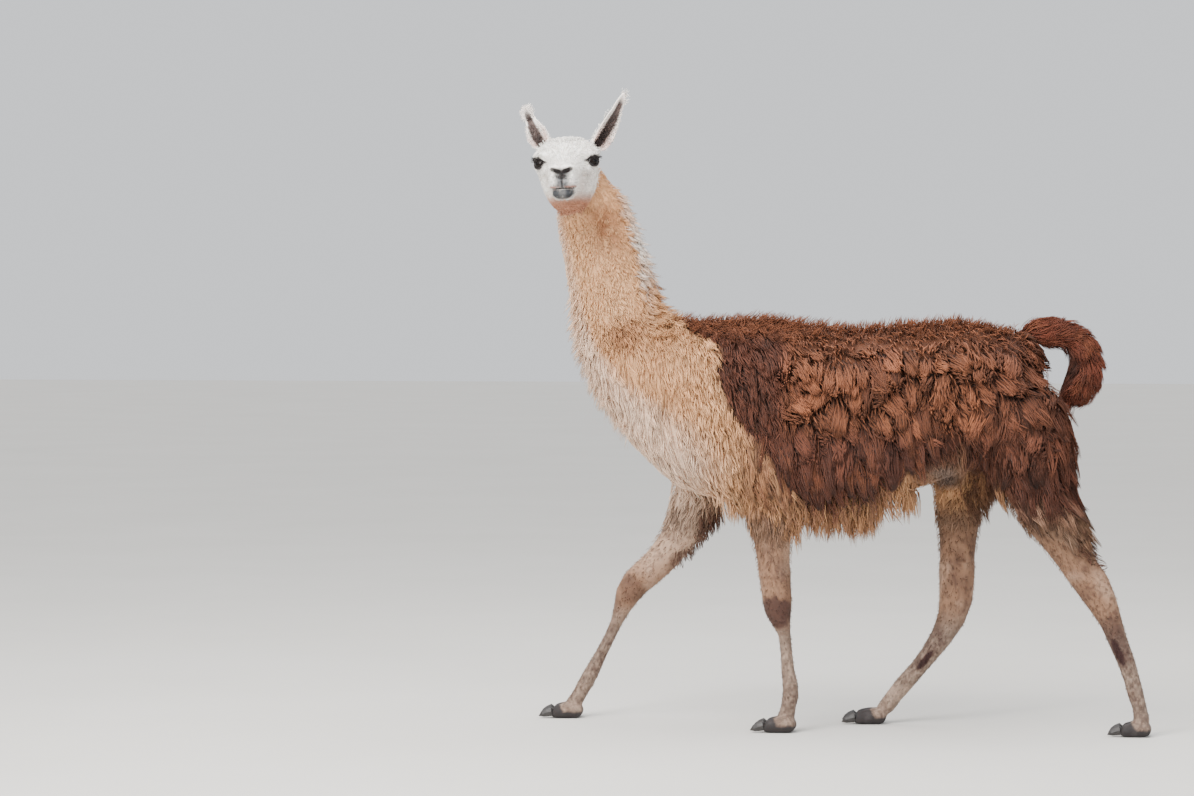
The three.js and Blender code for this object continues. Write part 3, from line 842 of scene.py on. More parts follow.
def coat_colour(p, group):
    """The colour of skin and coat at points of the drawing."""
    x, y, z = p.T
    far = (y > 0) * 1.0
    wander = noise(p + 900 * far[:, None], 70, 3, 3)
    fine = noise(p, 16, 5, 2)
    colour = np.tile(TAN, (len(p), 1))
    colour = tinge(colour, mix(TAN, CREAM, 0.5), smooth(wander, -0.5, 0.5))
    # the chest's pale front, the neck, and a painted shade of deep tan between them
    pale = smooth(-x, 440, 540) * smooth(-z, -800, -680)
    front = (np.interp(z, *CHEST_FRONT) - x) / np.interp(z, *CHEST_PALE)
    pale = np.maximum(pale, 0.9 * smooth(front + 0.2 * wander, -1.5, -0.2) * smooth(-z, -1250, -1150))
    colour = tinge(colour, CHEST, np.clip(pale + 0.2 * fine * pale, 0, 1))
    colour = tinge(colour, neck_colour(p, wander, fine), smooth(z, 1040, 1130) * smooth(-x, 520, 590))
    neck_base_shade = 0.6 * smooth(-np.hypot((x + 600) / 1.3, z - 1066) + 14 * fine, -70, -15)
    colour = tinge(colour, TAN_SHADE, neck_base_shade)
    # the brown saddle and what lies below it
    edge = np.interp(z, *SADDLE_FRONT) + 10 * fine + 8 * wander
    low = np.interp(x, *SADDLE_LOW) + (12 + 16 * smooth(x, 340, 420)) * (fine + wander)
    saddle = smooth(x - edge, -12, 14) * smooth(z - low, -16, 18) * smooth(-z, -1190, -1165)
    withers = smooth(z - np.interp(x, *WITHERS) + 8 * fine, -10, 12) * smooth(x, -545, -520) \
        * smooth(-z - 8 * fine, -1222, -1200)
    colour = tinge(colour, belly_colour(x, z, low, fine), smooth(x, -330, -250) * smooth(z, 520, 560))
    trunk = is_part(group, "trunk", "neck", "tail", "hind_left", "hind_right") | (z > 640)
    colour = tinge(colour, saddle_colour(x, z, wander, fine), np.maximum(saddle, withers) * trunk)
    # legs and feet
    legs = smooth(-z, -640, -560) * is_part(group, *LEGS, "foot")
    colour = tinge(colour, leg_colour(p, wander), legs)
    for at, size, slant, tone, deep in LEG_PATCHES:
        off = p - at
        off[:, 0] -= slant * off[:, 2]
        q = np.linalg.norm(off / size, axis=1) + 0.2 * fine
        colour = tinge(colour, tone, deep * smooth(-q, -1.12, -0.82) * (z < 480))
    tail = is_part(group, "tail")
    colour[tail] = tail_colour(p, fine)[tail]
    foot = is_part(group, "foot") | (z < 70)
    pad = smooth(20 + 32 * smooth(ahead_of_foot(p), -12, 16) - z - 3 * noise(p, 14, 17), -4, 4)
    colour = tinge(colour, tinge(PAD, PAD * 1.8, smooth(fine, 0, 0.7)), foot * pad)
    head = is_part(group, "head", "ear_left", "ear_right")
    if head.any():
        colour[head] = head_colour(head_points(p[head]), group[head])
    return colour


def ahead_of_foot(p):
    """How far points lie in front of the middle of their own foot."""
    best, ahead = np.full(len(p), 1e9), np.zeros(len(p))
    for name in LEGS:
        x, y = LEG[name][-1][:2]
        away = np.hypot(p[:, 0] - x, p[:, 1] - y)
        near = away < best
        best[near], ahead[near] = away[near], x - 20 - p[near, 0]
    return ahead


def ear_colour(h, name):
    """White at the rim and outside, dark inside, pink towards the root."""
    ear = EARS[name]
    q = (h - ear["at"]) @ ear_turn(ear)
    t = np.clip(q[:, 2] / EAR["length"], 0, 1)
    side = q[:, 1] + ear["side"] * ear["bend"] * t * t
    swell = np.sin(np.pi * np.minimum(t / EAR["belly"], 1))
    taper = np.sqrt(np.clip(1 - np.maximum(0, t * 2 - 1) ** 2, 0.02, 1))
    half = EAR["half"] * mix(EAR["narrow"], 1, swell) * taper
    roll = mix(EAR["roll_base"], EAR["roll_tip"], np.minimum(t / EAR["open"], 1))
    radius = half / np.sin(np.minimum(roll, np.pi / 2))
    inside = smooth(radius - np.hypot(q[:, 0] - radius * EAR["set"], side), -0.5, 1.0)
    dark = inside * smooth(-np.abs(side / half - 0.12 * ear["side"]), -0.66, -0.36) * smooth(-t, -0.95, -0.8)
    colour = tinge(WHITE, PINK, inside * 0.16)
    colour = tinge(colour, PINK, inside * smooth(-t, -0.5, -0.15) * 0.45)
    streaks = smooth(noise(q * (1, 1, 0.35), 6, 27, 2), -0.35, 0.45) * smooth(t, 0.15, 0.45)
    return tinge(colour, tinge(EAR_DARK, PINK * 0.55, 0.09 * streaks), dark * (0.99 - 0.03 * streaks))


def muzzle_colour(colour, h, fine):
    """Adds a painted shade on the bare lip pads, the nostrils, the soot and cleft below them, and the lips.
    """
    mirrored = both_sides(h)
    x, y, z = mirrored.T
    at = np.array(NOSTRIL["at"], float)
    dark = smooth(-blob(mirrored, at + (-1, -1, 0), (14, 15, 7.4), roll=NOSTRIL["turn"]) - fine, -2.6, 1.2)
    dark = np.maximum(dark, 0.8 * smooth(-blob(mirrored, at + (-5, 8, 5), (15, 7.5, 6)) - fine, -2.6, 1.0))
    dark = np.maximum(dark, 0.85 * smooth(-blob(mirrored, (186, 0, -36), (16, 14, 12)) - 2 * fine, -3.5, 1.5))
    front = smooth(x, 158, 170)
    soot = smooth(-y - 4 * fine, -27, -10) * smooth(z, -78, -66) * smooth(-z, 12, 28) * front
    cleft = smooth(-y, -5, -1) * smooth(z, -70, -58) * smooth(-z, 22, 32) * front
    # painted shade: greys the bare pads of the upper lip
    colour = tinge(colour, mix(WHITE, LIP_DARK, 0.28), 0.6 * smooth(x, 140, 160) * smooth(-z, 34, 50))
    colour = tinge(colour, LIP_DARK * 1.7, (0.86 + 0.12 * fine) * soot)
    colour = tinge(colour, LIP_DARK, 0.7 * cleft)
    colour = tinge(colour, NOSE, dark)
    lip = smooth(x, MOUTH["corner"] + 4, MOUTH["corner"] + 26)
    line = MOUTH["z"]
    round_lip = 1 - np.sqrt((y / 34) ** 2 + ((z - line + 10) / 21) ** 2)
    lower = smooth(round_lip + 0.06 * fine, 0.0, 0.2) * smooth(-z, -line + 1, -line + 4) * smooth(x, 130, 145)
    colour = tinge(colour, LIP_PINK, 0.9 * (bump(z, line + 4, 5.5) * lip * smooth(y + 10 * fine, 2, 22)))
    pale_lip = 0.18 * smooth(fine, 0.1, 0.8) + 0.06 * smooth(-y, -14, -4)
    colour = tinge(colour, tinge(LIP_DARK, WHITE, pale_lip), lower)
    return tinge(colour, NOSE, bump(z, line, 2.6) * lip)


def eye_marks(colour, h, fine, side):
    """Adds the dark rim round an eye, a painted shade round it and the duct to its front."""
    r, a, b, depth = eye_angles(h, side)
    edge = lids(h, side)
    near = smooth(-r, -34, -28) * (depth > 0)
    rim = smooth(-edge + 0.14 * smooth(a, 0.1, 0.8) - 0.08 * (b > 0.1), -0.24, -0.12) * near
    out = np.maximum(depth, 1e-6)
    fore, above = out * np.tan(a), out * np.tan(b)
    ahead = np.clip((fore - 12) / 17, 0, 1)
    duct = smooth(mix(8.5, 1.5, ahead) - np.abs(above - 1.5 + 3 * ahead) + 1.2 * fine, -1.5, 1.5) \
        * (fore > 12) * smooth(-ahead, -1.0, -0.75) * smooth(-r, -50, -42)
    # painted shade round the eye
    shade = smooth(-edge - 0.25 * fine - 0.3 * (b > 0), -0.75, -0.1) * near * 0.5
    return tinge(tinge(colour, FRECKLE_AND_SHADE, shade), NOSE, np.maximum(rim, duct * 0.9))


def head_colour(h, group):
    """The colour of the head and ears at points of the head's frame."""
    x, y, z = both_sides(h).T
    fine = noise(h, 7, 21, 2)
    # tan where the neck begins, pinkish tan under the jaw, a little pink on the cheeks
    colour = tinge(np.tile(WHITE, (len(h), 1)), CHIN, 0.95 * (smooth(-z, 70, 112) * smooth(-x, -150, -60)))
    colour = tinge(colour, CREAM, smooth(-x, 62, 100) * 0.6)
    cheek = bump(x, 60, 60) * bump(z, -60, 45) * smooth(y, 30, 45)
    colour = tinge(colour, mix(WHITE, PINK, 0.3), cheek * 0.6)
    # speckles below the eyes and round the muzzle
    speckle = smooth(noise(h, 4.5, 23, 2), 0.25, 0.5)
    where = np.maximum(bump(x, 60, 60) * bump(z, -30, 34), 0.8 * smooth(x, 140, 165) * smooth(-z, 30, 44))
    colour = tinge(colour, FRECKLE_AND_SHADE, speckle * where * 0.7)
    colour = muzzle_colour(colour, h, fine)
    for side in (1, -1):
        mine = (h[:, 1] * side > 0) & (x > -40)
        colour[mine] = eye_marks(colour[mine], h[mine], fine[mine], side)
    for name in EARS:
        mine = is_part(group, name)
        colour[mine] = ear_colour(h[mine], name)
    return colour


# ------------------------------------------------------------------ an unwrap of the body

ATLAS = {  # each part's cell: first corner and size, and the spine round which it is unrolled
    "trunk": (0.01, 0.01, 0.50, 0.40, TRUNK), "neck": (0.53, 0.01, 0.46, 0.30, NECK),
    "head": (0.53, 0.33, 0.30, 0.22, None), "ear_left": (0.85, 0.33, 0.13, 0.10, None),
    "ear_right": (0.85, 0.45, 0.13, 0.10, None), "tail": (0.01, 0.43, 0.24, 0.20, TAIL),
    "fore_left": (0.27, 0.57, 0.34, 0.19, LEG["fore_left"]),
    "fore_right": (0.63, 0.57, 0.34, 0.19, LEG["fore_right"]),
    "hind_left": (0.01, 0.78, 0.38, 0.20, LEG["hind_left"]),
    "hind_right": (0.41, 0.78, 0.38, 0.20, LEG["hind_right"]), "foot": (0.81, 0.78, 0.18, 0.20, None),
}


def atlas(p, group):
    """Where points of the skin lie on an unwrap of the body: along and round each part's spine."""
    uv = np.zeros((len(p), 2))
    for name, (u, v, wide, high, spine) in ATLAS.items():
        mine = is_part(group, name)
        if not mine.any():
            continue
        q = p[mine]
        if spine is None:
            low, size = q.min(0), np.ptp(q, axis=0) + 1
            share = (q - low) / size
            run, around = share[:, 0] * 0.5 + 0.5 * (q[:, 1] > q[:, 1].mean()), share[:, 2]
        else:
            line = np.asarray(spine, float)
            run = along(q, spine)[1] / np.linalg.norm(np.diff(line, axis=0), axis=1).sum()
            at = np.linspace(0, 1, len(line))
            middle = np.stack([np.interp(run, at, line[:, a]) for a in range(3)], -1)
            way = unit(line[-1] - line[0])
            off = q - middle
            other = unit(np.cross(way, (0, 1, 0)))
            around = np.arctan2(off @ other, off[:, 1]) / (2 * np.pi) + 0.5
        uv[mine] = np.stack([u + wide * run, v + high * around], -1)
    return uv


# ------------------------------------------------------------------ the ground that the coat grows from

GROUND_STEP = 6 * MM
HEAD_GROUND_STEP = GROUND_STEP / 2.5


class Ground:
    """The skin as places for roots, and how far other points lie above it."""

    def __init__(self, skin):
        co, self.tris = read_mesh(skin.data)
        corners = co[self.tris]
        across = np.cross(corners[:, 1] - corners[:, 0], corners[:, 2] - corners[:, 0]) / MM ** 2
        self.area = np.linalg.norm(across, axis=1) / 2
        self.points = drawing(co)
        self.group = parts(co)
        self.corners = drawing(corners)
        self.middle = self.corners.mean(1)
        self.facing = unit(across)
        self.owner = self.group[self.tris[:, 0]]
        normal = np.zeros_like(co)
        for corner in range(3):
            for axis in range(3):
                normal[:, axis] += np.bincount(self.tris[:, corner], across[:, axis], len(co))
        self.normal = unit(normal)
        self.field = Field(BODY_LOW, BODY_HIGH, GROUND_STEP, 12).read(co, self.tris, 24 * MM)
        low, high = (np.array(corner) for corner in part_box("head"))
        self.fine = Field(low - GRID_ROOM, high + GRID_ROOM, HEAD_GROUND_STEP, 8).read(co, self.tris, 9 * MM)

    def height(self, p, fine):
        return (self.fine if fine else self.field).at(place(p)) / MM

    def up(self, p, fine):
        return (self.fine if fine else self.field).slope(place(p))

    def scatter(self, count, weight, rng):
        """Roots spread at random over the triangles, as densely as the weight says."""
        share = self.area * weight(self.middle, self.facing, self.owner)
        total = np.cumsum(share)
        pick = np.searchsorted(total, rng.random(count) * total[-1])
        a, b = rng.random((2, count, 1))
        over = a + b > 1
        a, b = np.where(over, 1 - a, a), np.where(over, 1 - b, b)

        def inside(c):
            return c[:, 0] + a * (c[:, 1] - c[:, 0]) + b * (c[:, 2] - c[:, 0])

        normal = unit(inside(self.normal[self.tris[pick]]))
        return inside(self.corners[pick]), normal, self.owner[pick]


# ------------------------------------------------------------------ locks of hair

LOCK = {  # the usual lock; each piece of the coat names what differs. Lengths are in millimetres.
    "rings": 3,          # sections below its tip
    "long": (30, 45),    # shortest and longest
    "wide": 4.0,         # across its widest section
    "thick": 0.35,       # its height as a share of its width
    "high": 0.9,         # how high it rises, as a share of the coat's depth
    "lift": 0.0,         # more height at the tip, in millimetres
    "clump": 14,         # distance between the middles of clumps
    "gather": 0.6,       # how far locks of a clump run together
    "stray": 12,         # how far, in degrees, locks stray from the lie
    "clump_stray": 8,    # the same for whole clumps
    "wave": 0.0,         # sideways wave, as a share of the length
    "waves": 1.3,        # how many waves to a lock
    "free": 0.0,         # 1 where locks hang free of the body
    "hang": 0.0,         # how far locks turn downwards along their length
    "sag": 0.6,          # how soon locks that hang free turn downwards
    "shade": 0.22,       # how far locks differ in lightness
    "root": 0.8,         # lightness of the root against the tip, darker as painted shade deep in the coat
    "clump_shade": 0.15, # how far whole clumps differ in lightness
    "crack_shade": 0.0,       # painted shade: how far clumps darken towards their edges, in the cracks between them
    "fine": False,       # whether they grow on the head
    "plates": False,     # whether clumps are matted into plates that stand off at their lower ends
    "inner": False,      # whether they turn inwards and hang in the tail's bend
    "length": None,      # a function of place that scales the length
    "tint": None,        # a function that changes the colour
}


def rise(s, high, lift, quick=1.35):
    """Height above the skin along a lock: out of the coat at once, then level, with the tip a little free."""
    return -1.5 + (high + 1.5) * (1 - (1 - np.minimum(s * quick, 1)) ** 2) + lift * s ** 2


def paths(ground, p, normal, way, style, length, target, free, rng):
    """The lines that locks follow, from root to tip, and the way up along them."""
    rings = style["rings"]
    line, ups, heading = [p - 1.5 * normal], [normal], way
    phase = rng.random(len(p)) * 2 * np.pi
    for k in range(1, rings + 1):
        s, last = k / rings, (k - 1) / rings
        drop = style["hang"] * s
        heading = unit(heading * (1 - drop) + np.array([0.06, 0, -1.0]) * drop)
        loose = (free * smooth(s, 0.1, 0.5))[:, None]
        sag = style["sag"] * loose
        heading = unit(heading * (1 - sag) + np.array([0.08, 0, -1.0]) * sag)
        sway, before = (np.sin(phase + part * 2 * np.pi * style["waves"]) for part in (s, last))
        sideways = np.cross(heading, ups[-1]) * ((sway - before) * style["wave"] * length)[:, None]
        q = line[-1] + heading * (length / rings)[:, None] + sideways
        up = ground.up(q, style["fine"])
        level = target[:, k] - ground.height(q, style["fine"])
        level = np.clip(level, -14, 14)
        q = q + up * level[:, None] * (1 - loose)
        up = unit(mix(up, ups[-1], loose))
        flat = heading - up * dot(heading, up)
        heading = unit(mix(flat, heading, loose))
        line.append(q)
        ups.append(up)
    return np.stack(line, 1), np.stack(ups, 1)


PLATE = {  # a matted plate, in shares of the distance between clumps, in degrees and in millimetres
    "half": (0.28, 0.32),   # half its width: the least, and how much more it may be
    "reach": (0.8, 0.9),    # the same for its length below its middle
    "turn": 19,             # how far plates stray from the lie
    "tilt": (5, 24),        # how far their lower ends stand off
    "curl": 10,             # how far their ends curl up
    "ragged": 20,           # how uneven the lower end is
    "least": 16,            # the shortest lock
}


def plates(p, normal, way, depth, s, keep, mine, style, rng):
    """Locks matted into plates: one direction and one sloping face to each, with a ragged lower end."""
    many, count = len(keep), len(p)

    def each(least, more):
        return (least + more * rng.random(many))[mine]

    direction = spread(way[keep], normal[keep], PLATE["turn"], rng)[mine]
    direction = unit(direction - normal * dot(direction, normal))
    off = p - p[keep][mine]
    ahead, across = dot(off, direction)[:, 0], dot(off, np.cross(normal, direction))[:, 0]
    half = style["clump"] * each(*PLATE["half"])
    reach = style["clump"] * each(*PLATE["reach"])
    ragged = PLATE["ragged"] * noise(np.stack([across, mine * 50.0, 0 * across], -1), 13, 31, 2)
    ragged = ragged + 3 * rng.standard_normal(count)
    slant = (0.5 * rng.standard_normal(many))[mine]
    end = reach * (1 - 0.95 * np.abs(across / half) ** 1.3) + slant * across + ragged
    length = np.clip(end - ahead, PLATE["least"], 2.4 * style["clump"])
    tilt = each(PLATE["tilt"][0], PLATE["tilt"][1] - PLATE["tilt"][0])
    run = (ahead[:, None] + length[:, None] * s[None, :] + reach[:, None]) / (2 * reach[:, None])
    edge = smooth(np.abs(across) / half, 0.62, 1.05)
    face = depth[:, None] * 0.62 + np.clip(run, 0, 1.15) * tilt[:, None] - (4 * edge)[:, None]
    buckle = 3.5 * noise(np.stack([across, ahead, mine * 60.0], -1), 26, 33)
    face = face + (0.7 * rng.standard_normal(count) + buckle)[:, None]
    curl = PLATE["curl"] * np.abs(rng.standard_normal(many))[mine][:, None]
    face = face + curl * np.clip(run - 0.6, 0, 1) ** 2
    target = mix(-1.5, face, 1 - (1 - np.minimum(s * 2.4, 1))[None, :] ** 2)
    return spread(direction, normal, style["stray"], rng), length, target, edge


def spread(way, normal, degrees, rng):
    """Turns directions at random about the normal."""
    angle = np.radians(degrees) * rng.standard_normal(len(way))
    side = np.cross(normal, way)
    return way * np.cos(angle)[:, None] + side * np.sin(angle)[:, None]


CLUMP_SHAPE = np.array([1.0, 1.0, 0.62])  # clumps are longer down the body than along it
TAIL_INNER = unit(np.array([-0.8, 0, -0.6]))  # the way in which hair inside the tail's bend hangs
RIBBON = {2: (0.8, 1.0), 3: (0.75, 1.0, 0.7), 4: (0.7, 1.0, 0.92, 0.6), 5: (0.7, 1.0, 0.95, 0.8, 0.5)}
PATCH = 0.003  # how large each lock is on the unwrap


def clumps(p, size, area, rng):
    """The roots that clumps grow round, the clump of each root, and how far out in it the root lies."""
    many = int(min(max(area / size ** 2, 3), len(p)))
    keep = rng.permutation(len(p))[:many]
    tree = KDTree(many)
    for i, k in enumerate(keep):
        tree.insert(p[k] * CLUMP_SHAPE, i)
    tree.balance()
    mine = np.array([tree.find(q)[1] for q in (p * CLUMP_SHAPE).tolist()])
    return keep, mine, np.linalg.norm((p - p[keep[mine]]) * CLUMP_SHAPE, axis=1) / size


def locks(ground, name, count, weight, seed, slot, **own):
    """One piece of the coat: a joined mesh of closed, tapering locks."""
    style = {**LOCK, **own}
    rng = np.random.default_rng(seed)
    p, normal, group = ground.scatter(count, weight, rng)
    depth = coat_depth(p)
    area = (ground.area * weight(ground.middle, ground.facing, ground.owner)).sum()
    keep, mine, apart = clumps(p, style["clump"], area, rng)
    many = len(keep)
    # every clump has its own turn, length and lightness
    shortest, longest = style["long"]
    part_long = rng.random(many)[mine] * 0.6 + rng.random(count) * 0.4
    length = shortest + (longest - shortest) * part_long
    own_long = style["length"](p, group) if style["length"] else np.ones(count)
    length = length * own_long
    high = depth * style["high"] * (0.72 + 0.28 * rng.random(count) + 0.12 * rng.standard_normal(many)[mine])
    lift = style["lift"] * own_long * (0.4 + rng.random(count)) * (0.5 + rng.random(many))[mine]
    way = spread(lie(p, normal, group), normal, style["stray"], rng)
    turn_clump = np.radians(style["clump_stray"]) * rng.standard_normal(many)[mine]
    way = way * np.cos(turn_clump)[:, None] + np.cross(normal, way) * np.sin(turn_clump)[:, None]
    free = np.full(count, style["free"])
    if style["inner"]:
        free = smooth(-normal[:, 0], -0.1, 0.5) * smooth(-p[:, 2], -1068, -1025)
        way = unit(mix(way, TAIL_INNER + normal * 0.2, (free * (0.4 + 0.6 * rng.random(count)))[:, None]))
        length = length * (1 + 0.5 * free)
    s = np.linspace(0, 1, style["rings"] + 1)
    target = rise(s[None, :], high[:, None], lift[:, None])
    edge = smooth(apart, 0.25, 0.6)
    if style["plates"]:
        way, length, target, edge = plates(p, normal, way, depth, s, keep, mine, style, rng)
    line, ups = paths(ground, p, normal, way, style, length, target, free, rng)
    # locks run together towards their clump's own line
    gather = style["gather"] * s ** 1.4
    same = smooth(-np.linalg.norm(p - p[keep[mine]], axis=1), -3 * style["clump"], -1.5 * style["clump"])
    line = mix(line, line[keep][mine], gather[None, :, None] * same[:, None, None])
    seen = line[:, (len(s) * 3) // 5]
    colour = coat_colour(mix(seen, p, 0.25), group)
    light = 1 + style["shade"] * (rng.random(count) - 0.5) * 2
    light = light + style["clump_shade"] * rng.standard_normal(many)[mine]
    # painted shade: clumps darken towards their edges, in the cracks between them
    light = light * (1 - style["crack_shade"] * edge)
    # painted shade: locks darken towards their roots, deep in the coat
    tips = np.clip(light, 0.35, 1.6)[:, None] * mix(style["root"], 1.0, s ** 0.8)[None, :]
    colour = colour[:, None, :] * tips[:, :, None]
    if style["tint"]:
        colour = style["tint"](colour, p, s)
    width = style["wide"] * (0.7 + 0.6 * rng.random(count))
    made = ribbons(name, line, ups, width, style["thick"], np.clip(colour, 0.002, 0.95), atlas(p, group), rng)
    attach(made, "root")
    return made


def ribbons(name, line, ups, width, thick, colour, roots, rng):
    """Closed three-sided locks along lines, with two UV maps and a colour at each ring."""
    count, rows = line.shape[:2]
    rings = rows - 1
    ahead = unit(np.gradient(line, axis=1))
    side = unit(np.cross(ahead, ups))
    over = unit(np.cross(side, ahead))
    across = (width[:, None] * np.array(RIBBON[rings])[None, :])[:, :, None]
    base = line[:, :rings]
    ring = np.stack([base - side[:, :rings] * across / 2, base + side[:, :rings] * across / 2,
                     base + over[:, :rings] * across * thick], 2).reshape(count, rings * 3, 3)
    points = np.concatenate([ring, line[:, rings:]], 1)
    per = rings * 3 + 1
    faces = [(0, 1, 2)]
    for k in range(rings - 1):
        for a, b in ((0, 2), (2, 1), (1, 0)):
            faces += [(3 * k + a, 3 * k + b, 3 * k + 3 + b), (3 * k + a, 3 * k + 3 + b, 3 * k + 3 + a)]
    last = 3 * rings - 3
    faces += [(last + a, last + b, per - 1) for a, b in ((0, 2), (2, 1), (1, 0))]
    tris = (np.array(faces)[None] + (np.arange(count) * per)[:, None, None]).reshape(-1, 3)
    u = np.concatenate([np.tile([0, 1, 0.5], rings), [0.5]])
    v = np.concatenate([np.repeat(np.arange(rings) / rings, 3), [1.0]])
    patch = np.stack([u - 0.5, v - 0.5], -1) * PATCH
    bake = (roots[:, None, :] + patch[None]).reshape(-1, 2)
    length = np.linalg.norm(np.diff(line, axis=1), axis=2).sum(1)
    fibre = np.stack([u[None] * width[:, None] + rng.random((count, 1)) * 900,
                      v[None] * length[:, None] * 0.12 + rng.random((count, 1)) * 900], -1).reshape(-1, 2)
    tint = np.concatenate([np.repeat(colour[:, :rings], 3, axis=1), colour[:, rings:]], 1).reshape(-1, 3)
    return raw_mesh(name, place(points.reshape(-1, 3)), tris, tint, {"OFBake": bake, "Fibre": fibre})


def raw_mesh(name, points, tris, tint, maps):
    mesh = bpy.data.meshes.new(name)
    mesh.vertices.add(len(points))
    mesh.vertices.foreach_set("co", points.astype(np.float32).ravel())
    mesh.loops.add(tris.size)
    mesh.loops.foreach_set("vertex_index", tris.ravel().astype(np.int32))
    mesh.polygons.add(len(tris))
    mesh.polygons.foreach_set("loop_start", np.arange(0, tris.size, 3, dtype=np.int32))
    mesh.polygons.foreach_set("use_smooth", np.ones(len(tris), bool))
    for label, uv in maps.items():
        layer = mesh.uv_layers.new(name=label)
        layer.uv.foreach_set("vector", uv[tris.ravel()].astype(np.float32).ravel())
    set_tint(mesh, tint)
    mesh.update(calc_edges=True)
    return add_object(name, mesh)


def set_tint(mesh, tint):
    layer = mesh.color_attributes.new("Coat", "FLOAT_COLOR", "POINT")
    rgba = np.ones((len(tint), 4), np.float32)
    rgba[:, :3] = tint
    layer.data.foreach_set("color", rgba.ravel())


# ------------------------------------------------------------------ where each piece of the coat grows
# Each of these gives how densely a piece grows at places of the drawing.
def saddle_edge(p):
    return p[:, 0] - np.interp(p[:, 2], *SADDLE_FRONT)


def above_low(p):
    return p[:, 2] - np.interp(p[:, 0], *SADDLE_LOW)


def on_body(p, group):
    """Trunk, shoulders, chest and thighs, without head, neck, tail and lower legs."""
    body = is_part(group, "trunk", "neck", *LEGS) * smooth(p[:, 2], 545, 575)
    return body * (1 - smooth(p[:, 2], 1075, 1120) * smooth(-p[:, 0], 500, 560))


def grows_under(p, facing, group):
    return on_body(p, group) * smooth(p[:, 0], -470, -380) * (1 - 0.85 * grows_flank(p, facing, group))


def grows_saddle(p, facing, group):
    x, _, z = p.T
    front = smooth(saddle_edge(p), -14, 6) * smooth(-x, 120, 190) * smooth(above_low(p), -20, 10)
    back = smooth(x, 540, 575) * smooth(z, 760, 820)
    return on_body(p, group) * np.maximum(front, back)


def grows_mats(side):
    def weight(p, facing, group):
        x, y, z = p.T
        low = np.maximum(above_low(p), -40)
        band = smooth(x, -200, -140) * smooth(-x, -560, -500) * smooth(low, 40, 110) * smooth(z, 700, 800)
        there = np.maximum(smooth(noise(p + 700 * side, 105, 41), -0.62, -0.42), smooth(z, 985, 1025))
        return on_body(p, group) * band * there * (y * side > 0) * smooth(-facing[:, 2], -0.85, -0.5)
    return weight


def grows_strands(p, facing, group):
    x, y, z = p.T
    span = smooth(x, -300, -220) * smooth(-x, -250, -190)
    band = smooth(above_low(p), 70, 130) * smooth(-above_low(p), -260, -190)
    gaps = smooth(x, -190, -140) * smooth(-x, -540, -480) * smooth(above_low(p), 120, 200)
    gaps = gaps * 0.55 * smooth(-noise(p + 700 * np.sign(y)[:, None], 105, 41), 0.3, 0.55)
    sides = smooth(np.abs(y), 90, 140) * smooth(-z, -1060, -1000)
    return on_body(p, group) * np.maximum(span * band, gaps) * sides


def grows_fringe(p, facing, group):
    x, _, z = p.T
    span = smooth(x, -400, -340) * smooth(-x, -190, -120)
    return on_body(p, group) * span * smooth(-z, -700, -650) * is_part(group, "trunk", "neck")


def grows_back(p, facing, group):
    x, _, z = p.T
    return on_body(p, group) * smooth(z, 1035, 1075) * smooth(facing[:, 2], 0.2, 0.6) * smooth(x, -520, -470)


def grows_neck(p, facing, group):
    x, _, z = p.T
    above = smooth(z, 1010, 1060) * smooth(-x, 490, 540)
    return is_part(group, "neck", "head", "trunk") * above * on_neck(p, group)


def on_neck(p, group):
    """1 on the neck, falling to 0 on the face."""
    h = head_points(p)
    face = smooth(h[:, 2], -150, -110) * smooth(h[:, 0], -75, -35)
    return (1 - face) * (1 - is_part(group, "ear_left", "ear_right"))


def grows_nape(p, facing, group):
    x, _, z = p.T
    front = smooth(-facing[:, 0], 0.6, 0.85) * smooth(-x, 560, 600)
    front = front * smooth(-z, -1230, -1120) * smooth(z, 800, 860)
    back = grows_neck(p, facing, group) * smooth(neck_across(p), 62, 92)
    return np.maximum(back, 0.8 * front * is_part(group, "neck", "trunk"))


def grows_shoulder(p, facing, group):
    front = smooth(-saddle_edge(p), -12, 10) * smooth(-p[:, 0], 10, 60)
    fore = is_part(group, "neck", "trunk", "fore_left", "fore_right")
    return on_body(p, group) * front * fore * (1 - 0.6 * smooth(-facing[:, 2], 0.4, 0.8))


def grows_flank(p, facing, group):
    return on_body(p, group) * smooth(p[:, 0], 60, 130) * smooth(-above_low(p), -25, 25)


def grows_haunch(p, facing, group):
    x, _, z = p.T
    thigh = smooth(x, 270, 350) * smooth(-z, -980, -850) * smooth(above_low(p), -25, 15)
    return on_body(p, group) * thigh * (1 - 0.7 * smooth(-facing[:, 2], 0.3, 0.8))


def grows_tail(p, facing, group):
    return is_part(group, "tail") * 1.0


def grows_wisps(p, facing, group):
    """Fringes tinted dark as painted shade, behind the far forearm, inside the groin and behind the near hind
    leg.
    """
    z = p[:, 2]
    rear = smooth(facing[:, 0], 0.15, 0.5)
    elbow = is_part(group, "fore_right") * rear * smooth(z, 430, 470) * smooth(-z, -640, -600)
    groin = is_part(group, "hind_right") * rear * smooth(z, 600, 630) * smooth(-z, -730, -700) * 2.5
    hock = is_part(group, "hind_left") * rear * smooth(z, 440, 480) * smooth(-z, -660, -620)
    return elbow + groin + hock


def wisp_length(p, group):
    """Long at the groin and the elbow, short further down."""
    long = np.maximum(is_part(group, "hind_right") * 1.0, smooth(p[:, 2], 540, 600))
    return mix(0.35, 1.0, long)


# painted shade: darkens the fringes where they hang in shade
def wisp_shade(colour, p, s):
    return mix(colour, DARK, 0.75)


def grows_legs(p, facing, group):
    z = p[:, 2]
    return is_part(group, *LEGS, "foot") * smooth(-z, -600, -560) * smooth(z, 42, 60)


